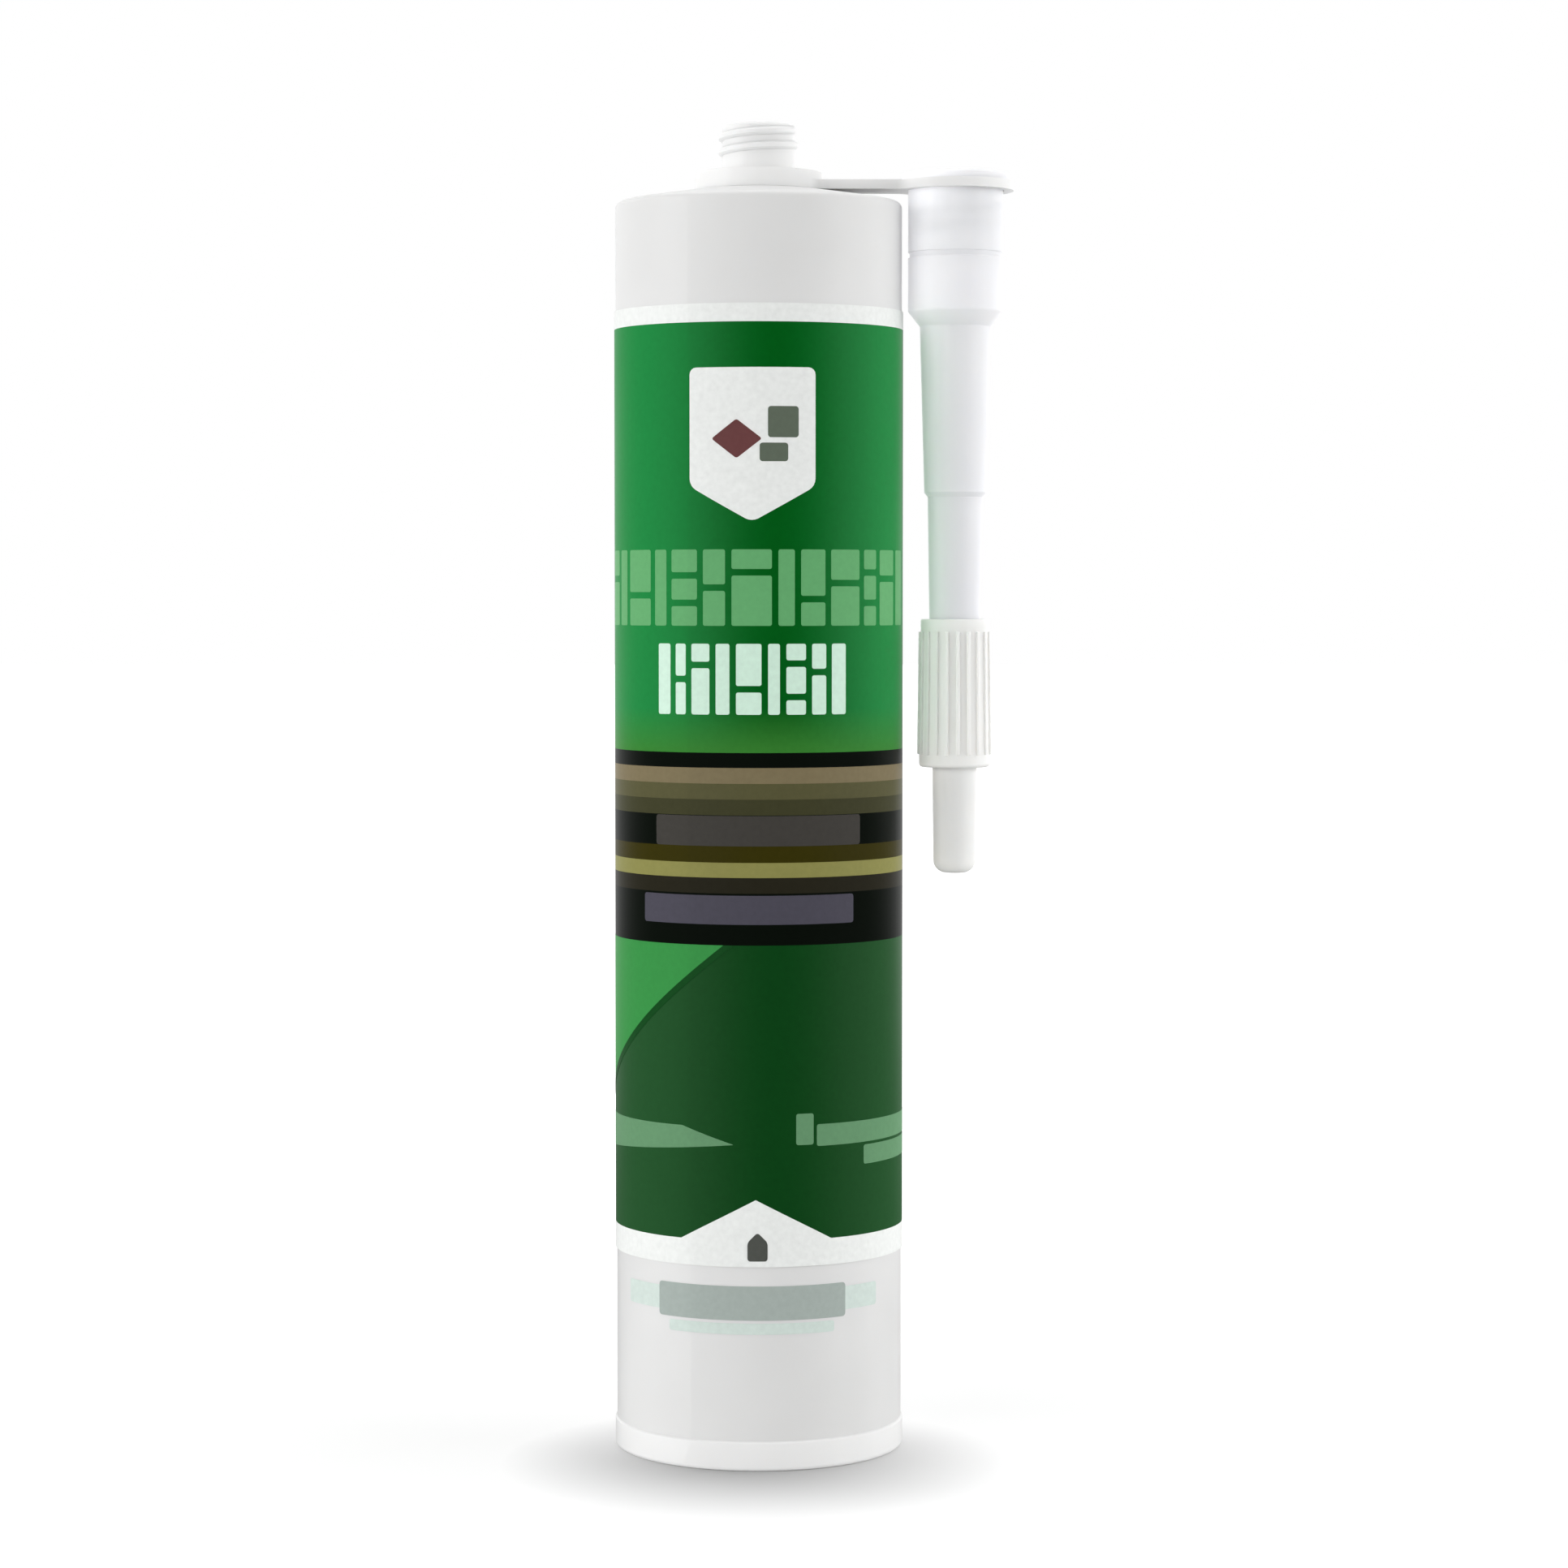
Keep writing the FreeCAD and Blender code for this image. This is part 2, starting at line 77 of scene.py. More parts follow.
# Sizes and places on the print, in millimetres.
COLUMN_WIDTH = 0.8
ART_CENTRE = -1.0
BAR_CENTRE = -1.35
BAND_BOTTOM, BAND_TOP = 89.2, 121.6
WEDGE_SLOPE = (14.7, -18.5)


class Body(Enum):
    """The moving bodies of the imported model."""

    BARREL = "barrel"
    PISTON = "piston"
    HOLDER = "holder"
    CAP = "cap"


class Slot(Enum):
    """The record's material slots."""

    BARREL = "barrel_plastic"
    FILM = "printed_film"
    PISTON = "piston_plastic"
    SEALANT = "sealant"
    HOLDER = "holder_plastic"
    NOZZLE = "nozzle_plastic"
    CAP = "cap_plastic"


class Mix(Enum):
    """What a Mix node mixes: its data type, its first value's input and its output."""

    COLOURS = ("RGBA", 6, 2)
    NUMBERS = ("FLOAT", 2, 0)


@dataclass(frozen=True)
class Corner:
    """One corner of a turned outline: its radius, its height and how far it is rounded."""

    radius: float
    height: float
    rounding: float = 0.0

    def place(self) -> Vector:
        """The corner as a point of the outline."""
        return Vector((self.radius, self.height))


def rounded_corner(before: Corner, corner: Corner, after: Corner) -> list[Vector]:
    """The arc that rounds one corner of an outline.

    Args:
        before: The corner that comes before it.
        corner: The corner to round.
        after: The corner that comes after it.

    Returns:
        The arc's points in order, or the corner alone where it isn't rounded.
    """
    if not corner.rounding:
        return [corner.place()]
    back = (before.place() - corner.place()).normalized()
    ahead = (after.place() - corner.place()).normalized()
    half = back.angle(ahead) / 2
    centre = corner.place() + (back + ahead).normalized() * corner.rounding / math.sin(half)
    start = corner.place() + back * corner.rounding / math.tan(half) - centre
    end = corner.place() + ahead * corner.rounding / math.tan(half) - centre
    sweep = start.angle(end)
    points = []
    for step in range(ARC_STEPS + 1):
        share = step / ARC_STEPS
        offset = start * math.sin((1 - share) * sweep) + end * math.sin(share * sweep)
        points.append(centre + offset / math.sin(sweep))
    return points


def outline_points(corners: list[Corner], closed: bool) -> list[Vector]:
    """Every point of a turned outline, with its rounded corners.

    Args:
        corners: The corners in order.
        closed: Whether the last corner joins the first.

    Returns:
        Points whose x is a radius and whose y is a height.
    """
    points = []
    count = len(corners)
    for index, corner in enumerate(corners):
        before = corners[index - 1]
        after = corners[(index + 1) % count]
        at_end = index in (0, count - 1) and not closed
        points += [corner.place()] if at_end else rounded_corner(before, corner, after)
    return points + [points[0]] if closed else points


def deselect() -> None:
    """Leave no object selected."""
    bpy.ops.object.select_all(action="DESELECT")


def take(piece: Piece) -> None:
    """Select one object alone and make it the active one.

    Args:
        piece: The object.
    """
    deselect()
    piece.select_set(True)
    bpy.context.view_layer.objects.active = piece


def start_shaping(select: str = "VERT") -> None:
    """Open the active object's mesh for editing, with all of it selected.

    Args:
        select: What is picked: VERT, EDGE or FACE.
    """
    bpy.ops.object.mode_set(mode="EDIT")
    bpy.ops.mesh.select_mode(type=select)
    bpy.ops.mesh.select_all(action="SELECT")


def leave_mesh() -> None:
    """Leave the mesh and put the object's place into it."""
    bpy.ops.object.mode_set(mode="OBJECT")
    bpy.ops.object.transform_apply(location=True, rotation=True, scale=True)


def end_shaping() -> None:
    """Merge doubles, turn the faces outwards and leave the mesh."""
    bpy.ops.mesh.select_all(action="SELECT")
    bpy.ops.mesh.remove_doubles(threshold=MERGE_DISTANCE)
    bpy.ops.mesh.normals_make_consistent(inside=False)
    leave_mesh()


def lay_sheet(middle: Point, width: float, height: float, columns: int = 1) -> None:
    """Open a new flat upright sheet for shaping.

    Args:
        middle: Its centre.
        width: How far it reaches along X.
        height: How far it reaches along Z.
        columns: How many columns of faces it has.
    """
    deselect()
    bpy.ops.mesh.primitive_grid_add(
        x_subdivisions=columns,
        y_subdivisions=1,
        size=1,
        location=middle,
        rotation=(math.radians(90), 0, 0),
    )
    start_shaping()
    bpy.ops.transform.resize(value=(width, 1, height), center_override=middle)


def cut_flat(place: Point, normal: Point, clear: bool = False) -> None:
    """Cut the open mesh along a plane.

    Args:
        place: A point of the plane.
        normal: Its normal, of any length.
        clear: Whether the mesh on the normal's side falls away.
    """
    bpy.ops.mesh.select_all(action="SELECT")
    length = math.hypot(*normal)
    bpy.ops.mesh.bisect(
        plane_co=place, plane_no=[part / length for part in normal], clear_outer=clear
    )


def thicken(thickness: float) -> None:
    """Give the open flat sheet a thickness towards -Y."""
    bpy.ops.mesh.select_all(action="SELECT")
    bpy.ops.mesh.extrude_region_move(TRANSFORM_OT_translate={"value": (0, -thickness, 0)})


def settle(name: str) -> Piece:
    """Name the active object and smooth its round faces.

    Args:
        name: The piece's name.

    Returns:
        The finished object.
    """
    piece = bpy.context.object
    piece.name = name
    piece.data.name = name
    bpy.ops.object.shade_smooth_by_angle(angle=SMOOTH_ANGLE)
    return piece


def join(name: str, pieces: list[Piece]) -> Piece:
    """Make one object of several.

    Args:
        name: The joined object's name.
        pieces: The objects; the first one takes in the others.

    Returns:
        The joined object.
    """
    take(pieces[0])
    for piece in pieces:
        piece.select_set(True)
    bpy.ops.object.join()
    return settle(name)


def turn(
    name: str, corners: list[Corner], axis_x: float, segments: int, closed: bool = False
) -> Piece:
    """Turn an outline about an upright axis, ring by ring.

    Args:
        name: The piece's name.
        corners: The outline; a first or last corner of no radius closes that end.
        axis_x: Where the axis stands along X.
        segments: Faces round each ring.
        closed: Whether the outline's last corner joins its first.

    Returns:
        The turned object, with its faces outwards.
    """
    points = outline_points(corners, closed)
    capped = points[0].x == 0
    if capped:
        points = points[1:]
    deselect()
    bpy.ops.mesh.primitive_circle_add(
        vertices=segments,
        radius=points[0].x,
        fill_type="TRIFAN" if capped else "NOTHING",
        location=(axis_x, 0, points[0].y),
    )
    start_shaping()
    if capped:
        bpy.ops.mesh.region_to_loop()
    for before, after in zip(points, points[1:]):
        climb = {"value": (0, 0, after.y - before.y)}
        bpy.ops.mesh.extrude_edges_move(TRANSFORM_OT_translate=climb)
        if after.x == 0:
            bpy.ops.mesh.merge(type="CENTER")
        else:
            share = after.x / before.x
            bpy.ops.transform.resize(
                value=(share, share, 1), center_override=(axis_x, 0, after.y)
            )
    end_shaping()
    return settle(name)


@dataclass(frozen=True)
class Thread:
    """A right-hand thread with flat crests, round a neck or inside a socket."""

    root_radius: float
    crest_radius: float
    start: float
    turns: int
    pitch: float = 2.5 * MM
    root_width: float = 1.6 * MM
    crest_width: float = 0.6 * MM
    steps: int = 72
    run_out: int = 12
    least_share: float = 0.04

    def wind(self, axis_x: float) -> Piece:
        """Wind one ridge up round an axis, closed and run out at both ends.

        Args:
            axis_x: Where the axis stands along X.

        Returns:
            The ridge, to be joined to the moulding that carries it.
        """
        middle = ((self.root_radius + self.crest_radius) / 2, 0, self.start)
        depth = abs(self.crest_radius - self.root_radius)
        lay_sheet(middle, depth, self.root_width)
        bpy.ops.mesh.delete(type="ONLY_FACE")
        leave_mesh()
        piece = bpy.context.object
        for vertex in piece.data.vertices:
            above = vertex.co.z - self.start
            if abs(vertex.co.x - self.crest_radius) < depth / 2:
                vertex.co.z = self.start + math.copysign(self.crest_width / 2, above)
        screw = piece.modifiers.new("winding", "SCREW")
        screw.axis = "Z"
        screw.angle = math.tau
        screw.iterations = self.turns
        screw.screw_offset = self.pitch
        screw.steps = self.steps
        screw.render_steps = self.steps
        bpy.ops.object.modifier_apply(modifier=screw.name)
        self.run_ends_out(piece)
        start_shaping()
        bpy.ops.mesh.fill_holes(sides=4)
        bpy.ops.transform.translate(value=(axis_x, 0, 0))
        end_shaping()
        return piece

    def run_ends_out(self, piece: Piece) -> None:
        """Let the ridge sink into its wall towards both ends.

        Args:
            piece: The ridge, section by section of four corners each.
        """
        corners = 4
        last = len(piece.data.vertices) // corners - 1
        for number, vertex in enumerate(piece.data.vertices):
            section = number // corners
            climb = min(1.0, section / self.run_out, (last - section) / self.run_out)
            share = max(self.least_share, climb)
            radius = math.hypot(vertex.co.x, vertex.co.y)
            sunk = self.root_radius + (radius - self.root_radius) * share
            vertex.co.x *= sunk / radius
            vertex.co.y *= sunk / radius


class NodeDesk:
    """Adds nodes to one node tree and joins them."""

    def __init__(self, tree: bpy.types.NodeTree) -> None:
        """Work on a node tree."""
        self.tree = tree

    def feed(self, node: Node, feeds: dict[str | int, Value]) -> Node:
        """Join a node's inputs to sockets, or set their own values.

        Args:
            node: The node.
            feeds: What each input takes, by the input's name or number.

        Returns:
            The same node.
        """
        for name, value in feeds.items():
            if isinstance(value, Socket):
                self.tree.links.new(value, node.inputs[name])
            else:
                node.inputs[name].default_value = value
        return node

    def add(self, kind: str, feeds: dict[str | int, Value] | None = None, **settings) -> Node:
        """Add a node and feed its inputs.

        Args:
            kind: The node's type name, after "ShaderNode".
            feeds: What each input takes, by the input's name or number.
            **settings: The node's own settings.

        Returns:
            The new node.
        """
        node = self.tree.nodes.new("ShaderNode" + kind)
        for name, value in settings.items():
            setattr(node, name, value)
        return self.feed(node, feeds or {})

    def maths(self, operation: str, *values: Socket | float) -> Socket:
        """The result of one sum on numbers or sockets, as a socket."""
        return self.add("Math", dict(enumerate(values)), operation=operation).outputs[0]

    def mix(self, share: Value, first: Value, second: Value, kind: Mix = Mix.COLOURS) -> Socket:
        """A mix of two colours or of two numbers.

        Args:
            share: How much of the second one shows.
            first: The first one.
            second: The second one.
            kind: What they are.

        Returns:
            The mix.
        """
        data_type, start, result = kind.value
        feeds = {0: share, start: first, start + 1: second}
        return self.feed(self.add("Mix", data_type=data_type), feeds).outputs[result]

    def ramp(
        self, value: Socket, start: float, end: float,
        low: float = 0.0, high: float = 1.0, soft: bool = False,
    ) -> Socket:
        """A rise or a fall over a stretch of a value.

        Args:
            value: The value.
            start: Where the stretch starts.
            end: Where it ends.
            low: The result up to the start.
            high: The result from the end on.
            soft: Whether the result leaves and meets its ends smoothly.

        Returns:
            The result.
        """
        feeds = {"Value": value, "From Min": start, "From Max": end, "To Min": low, "To Max": high}
        kind = "SMOOTHSTEP" if soft else "LINEAR"
        return self.add("MapRange", feeds, interpolation_type=kind).outputs["Result"]

    def place(self) -> Socket:
        """The point's place in the object."""
        return self.add("TexCoord").outputs["Object"]

    def along(self, axis: str, vector: Socket) -> Socket:
        """One part of a vector."""
        return self.add("SeparateXYZ", {0: vector}).outputs[axis]

    def noise(self, scale: Socket, detail: float) -> Socket:
        """Soft noise over the object, from none to one."""
        feeds = {"Vector": self.place(), "Scale": scale, "Detail": detail}
        return self.add("TexNoise", feeds).outputs["Fac"]


def opaque(colour: Colour) -> tuple[float, float, float, float]:
    """A colour with its alpha."""
    return (*colour, 1.0)


class GroupDesk(NodeDesk):
    """Makes one shader node group: its sockets first, then its nodes."""

    def __init__(self, name: str, takes: dict[str, str], gives: dict[str, str]) -> None:
        """Open a new group.

        Args:
            name: The group's name.
            takes: The type of each input, by name.
            gives: The type of each output, by name.
        """
        super().__init__(bpy.data.node_groups.new(name, "ShaderNodeTree"))
        for side, sockets in (("INPUT", takes), ("OUTPUT", gives)):
            for label, kind in sockets.items():
                self.tree.interface.new_socket(label, in_out=side, socket_type="NodeSocket" + kind)
        self.inside = self.tree.nodes.new("NodeGroupInput").outputs
        self.result = self.tree.nodes.new("NodeGroupOutput")


@functools.cache
def moulded_surface() -> bpy.types.NodeTree:
    """The fine unevenness of moulded plastic.

    Returns:
        A group that gives a height for bump and an uneven roughness.
    """
    broad_over_fine = 28.0
    desk = GroupDesk(
        "MouldedSurface",
        {"Grain Size": "Float", "Roughness": "Float", "Unevenness": "Float"},
        {"Height": "Float", "Roughness": "Float"},
    )
    fine_scale = desk.maths("DIVIDE", 1.0, desk.inside["Grain Size"])
    broad_scale = desk.maths("DIVIDE", fine_scale, broad_over_fine)
    centred_noise = desk.maths("SUBTRACT", desk.noise(broad_scale, 2.0), 0.5)
    shift = desk.maths("MULTIPLY", centred_noise, desk.inside["Unevenness"])
    desk.feed(desk.result, {
        "Height": desk.noise(fine_scale, 3.0),
        "Roughness": desk.maths("ADD", desk.inside["Roughness"], shift),
    })
    return desk.tree


@functools.cache
def cloudy_colour() -> bpy.types.NodeTree:
    """A colour that drifts softly between two others over the piece.

    Returns:
        A group that gives the colour.
    """
    clear_noise, dense_noise = 0.35, 0.65
    desk = GroupDesk(
        "CloudyColour",
        {"Colour": "Color", "Drift Colour": "Color", "Drift Size": "Float"},
        {"Colour": "Color"},
    )
    scale = desk.maths("DIVIDE", 1.0, desk.inside["Drift Size"])
    spread = desk.ramp(desk.noise(scale, 2.0), clear_noise, dense_noise)
    colour = desk.mix(spread, desk.inside["Colour"], desk.inside["Drift Colour"])
    desk.feed(desk.result, {"Colour": colour})
    return desk.tree


@functools.cache
def wrapped_place() -> bpy.types.NodeTree:
    """Where a point lies on the unrolled print.

    Returns:
        A group that gives the point's arc from the front and its height.
    """
    desk = GroupDesk("WrappedPlace", {"Radius": "Float"}, {"Arc": "Float", "Height": "Float"})
    parts = desk.add("SeparateXYZ", {0: desk.place()}).outputs
    ahead = desk.maths("MULTIPLY", parts["Y"], -1.0)
    angle = desk.maths("ARCTAN2", parts["X"], ahead)
    desk.feed(desk.result, {
        "Arc": desk.maths("MULTIPLY", angle, desk.inside["Radius"]),
        "Height": parts["Z"],
    })
    return desk.tree


class MaterialDesk(NodeDesk):
    """Makes one material round its Principled BSDF node."""

    def __init__(self, name: str) -> None:
        """Start an empty material.

        Args:
            name: The material's name.
        """
        self.material = bpy.data.materials.new(name)
        self.material.use_nodes = True
        super().__init__(self.material.node_tree)
        self.shader = self.tree.nodes["Principled BSDF"]

    def grain(self, size: float, depth: float, roughness: float, unevenness: float) -> Socket:
        """Give the shader the fine relief and the uneven gloss of moulded plastic.

        Args:
            size: How wide the grain is.
            depth: How deep it is.
            roughness: The mean roughness.
            unevenness: How far the roughness drifts.

        Returns:
            The grain's height, from none to one.
        """
        feeds = {"Grain Size": size, "Roughness": roughness, "Unevenness": unevenness}
        surface = self.add("Group", feeds, node_tree=moulded_surface()).outputs
        bump = self.add("Bump", {"Height": surface["Height"], "Distance": depth})
        self.feed(self.shader, {"Roughness": surface["Roughness"], "Normal": bump.outputs["Normal"]})
        return surface["Height"]


@dataclass(frozen=True)
class MouldedPlastic:
    """A moulded polyethylene finish."""

    name: str
    colour: Colour
    drift_colour: Colour
    roughness: float
    milkiness: float
    milk_depth: float
    milk_spread: Colour = (1.0, 0.95, 0.9)
    # Lighter colour at the foot and neck: partly thicker milky plastic, partly painted highlight.
    thick_and_lit_colour: Colour | None = None
    thin_heights: tuple[float, float] = (0.0, 1.0)
    thin_blur: float = 0.4 * MM
    drift_size: float = 26 * MM
    grain_size: float = 0.35 * MM
    grain_depth: float = 0.006 * MM
    unevenness: float = 0.12

    def material(self) -> bpy.types.Material:
        """Build the finish.

        Returns:
            The Blender material.
        """
        desk = MaterialDesk(self.name)
        desk.grain(self.grain_size, self.grain_depth, self.roughness, self.unevenness)
        cloud = desk.add("Group", {
            "Colour": opaque(self.colour),
            "Drift Colour": opaque(self.drift_colour),
            "Drift Size": self.drift_size,
        }, node_tree=cloudy_colour())
        colour = cloud.outputs["Colour"]
        # Partly painted highlight: the foot lip and the neck get a lighter colour, partly for their
        # thicker milky plastic and partly for the light that falls on them from the floor.
        if self.thick_and_lit_colour:
            colour = desk.mix(self.plain_wall_mask(desk), opaque(self.thick_and_lit_colour), colour)
        desk.feed(desk.shader, {
            "Base Color": colour,
            "Subsurface Weight": self.milkiness,
            "Subsurface Scale": self.milk_depth,
            "Subsurface Radius": self.milk_spread,
        })
        return desk.material

    def plain_wall_mask(self, desk: NodeDesk) -> Socket:
        """Find the plain thin wall, between the foot and the neck that are painted lighter.

        Args:
            desk: The material's desk.

        Returns:
            One at thin heights, and none at the thicker foot and neck, whose lighter colour is partly
            the thicker milky plastic and partly painted highlight.
        """
        height = desk.along("Z", desk.place())
        low, high = self.thin_heights
        rise = desk.ramp(height, low - self.thin_blur, low)
        return desk.maths("MINIMUM", rise, desk.ramp(height, high + self.thin_blur, high))


@dataclass(frozen=True)
class Ink:
    """One ink of the print, with painted shade: it may lie darker in a soft stripe down the front,
    where the round barrel's core shade falls.
    """

    name: str
    colour: Colour
    # Painted shade: the darker colour of the stripe down the front.
    painted_shade_colour: Colour | None = None
    foot_colour: Colour | None = None
    foot_range: tuple[float, float] = (0.0, 1.0)
    # Painted shade: where the darker stripe lies and how wide it is.
    painted_shade_arc: float = 3 * MM
    painted_shade_width: float = 15 * MM
    roughness: float = 0.36
    grain_size: float = 0.9 * MM
    grain_depth: float = 0.006 * MM
    unevenness: float = 0.1
    mottle: float = 0.16
    gloss: float = 0.04

    def colour_over(self, desk: NodeDesk, place: Node) -> Socket:
        """The ink's colour over the print.

        Args:
            desk: The material's desk.
            place: The node that gives the arc and the height.

        Returns:
            The colour before the mottle.
        """
        # Painted shade: the ink darkens towards its front colour in a soft stripe down the front,
        # standing in for the barrel's core shade.
        offset = desk.maths("SUBTRACT", place.outputs["Arc"], self.painted_shade_arc)
        spread = desk.maths("DIVIDE", offset, self.painted_shade_width)
        square = desk.maths("POWER", desk.maths("ABSOLUTE", spread), 2.0)
        painted_shade_share = desk.maths("EXPONENT", desk.maths("MULTIPLY", square, -1.0))
        colour = desk.mix(painted_shade_share, opaque(self.colour), opaque(self.painted_shade_colour or self.colour))
        if self.foot_colour:
            rise = desk.ramp(place.outputs["Height"], *self.foot_range)
            colour = desk.mix(rise, opaque(self.foot_colour), colour)
        return colour

    def material(self) -> bpy.types.Material:
        """Build the ink with its faint mottle and the film's gloss.

        Returns:
            The Blender material.
        """
        desk = MaterialDesk(self.name)
        place = desk.add("Group", {"Radius": FILM_RADIUS}, node_tree=wrapped_place())
        height = desk.grain(self.grain_size, self.grain_depth, self.roughness, self.unevenness)
        speck = desk.maths("MULTIPLY", height, self.mottle)
        desk.feed(desk.shader, {
            "Base Color": desk.mix(speck, self.colour_over(desk, place), opaque((0.0, 0.0, 0.0))),
            "Specular IOR Level": self.gloss,
        })
        return desk.material


@dataclass(frozen=True)
class BandInk(Ink):
    """The dark band's ink: stripes of colour, each from its lower edge up, with crisp edges."""

    stripes: tuple[tuple[float, Colour], ...] = ()

    def colour_over(self, desk: NodeDesk, place: Node) -> Socket:
        """The stripes, as one colour ramp over the band's height.

        Args:
            desk: The material's desk.
            place: The node that gives the height.

        Returns:
            The colour before the mottle.
        """
        share = desk.ramp(place.outputs["Height"], BAND_BOTTOM * MM, BAND_TOP * MM)
        ramp = desk.add("ValToRGB", {"Fac": share})
        ramp.color_ramp.interpolation = "CONSTANT"
        while len(ramp.color_ramp.elements) < len(self.stripes):
            ramp.color_ramp.elements.new(1.0)
        for element, (height, colour) in zip(ramp.color_ramp.elements, self.stripes):
            element.position = (height - BAND_BOTTOM) / (BAND_TOP - BAND_BOTTOM)
            element.color = opaque(colour)
        return ramp.outputs["Color"]


@functools.cache
def ink_material(ink: Ink) -> bpy.types.Material:
    """An ink's material, made once."""
    return ink.material()


@dataclass(frozen=True)
class Cut:
    """A straight cut across a printed shape, through a point; the normal's side falls away."""

    arc: float
    height: float
    normal: tuple[float, float]


@dataclass(frozen=True)
class PrintedShape:
    """A flat shape of ink, in millimetres: a rectangle with rounded corners and straight cuts."""

    left: float
    right: float
    bottom: float
    top: float
    rounding: float = 0.0
    cuts: tuple[Cut, ...] = ()

    def lay(self, inner_radius: float, thickness: float) -> Piece:
        """Cut the shape from a flat sheet and wrap it round the barrel.

        Args:
            inner_radius: Where the ink's lower face lies, in metres.
            thickness: How thick the ink is, in metres.

        Returns:
            The wrapped shape as a closed thin mesh.
        """
        middle = ((self.left + self.right) / 2 * MM, 0, (self.bottom + self.top) / 2 * MM)
        lay_sheet(middle, (self.right - self.left) * MM, (self.top - self.bottom) * MM)
        for cut in self.cuts:
            across, up = cut.normal
            cut_flat((cut.arc * MM, 0, cut.height * MM), (across, 0, up), clear=True)
        if self.rounding:
            bpy.ops.mesh.select_all(action="SELECT")
            bpy.ops.mesh.bevel(affect="VERTICES", offset=self.rounding * MM, segments=4)
        count = math.ceil((self.right - self.left) / COLUMN_WIDTH)
        for column in range(1, count):
            arc = self.left + (self.right - self.left) * column / count
            cut_flat((arc * MM, 0, 0), (1, 0, 0))
        thicken(thickness)
        end_shaping()
        piece = bpy.context.object
        wrap(piece, inner_radius)
        return piece


def wrap(piece: Piece, inner_radius: float) -> None:
    """Wrap a flat mesh round the barrel.

    Args:
        piece: The flat mesh, with the film's arcs along X and thickness towards -Y.
        inner_radius: The radius that y = 0 comes to lie on.
    """
    for vertex in piece.data.vertices:
        arc, depth, height = vertex.co
        radius = inner_radius - depth
        angle = arc / FILM_RADIUS
        vertex.co = (radius * math.sin(angle), -radius * math.cos(angle), height)


def dress(piece: Piece, body: Body, slot: Slot, *materials: bpy.types.Material) -> None:
    """Give a piece its finish and its place among the moving bodies.

    Args:
        piece: The piece.
        body: The body that it rides on.
        slot: The record's slot; not used.
        *materials: Its materials, in the order of its faces' numbers.
    """
    for material in materials:
        piece.data.materials.append(material)
    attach(piece, body.value)


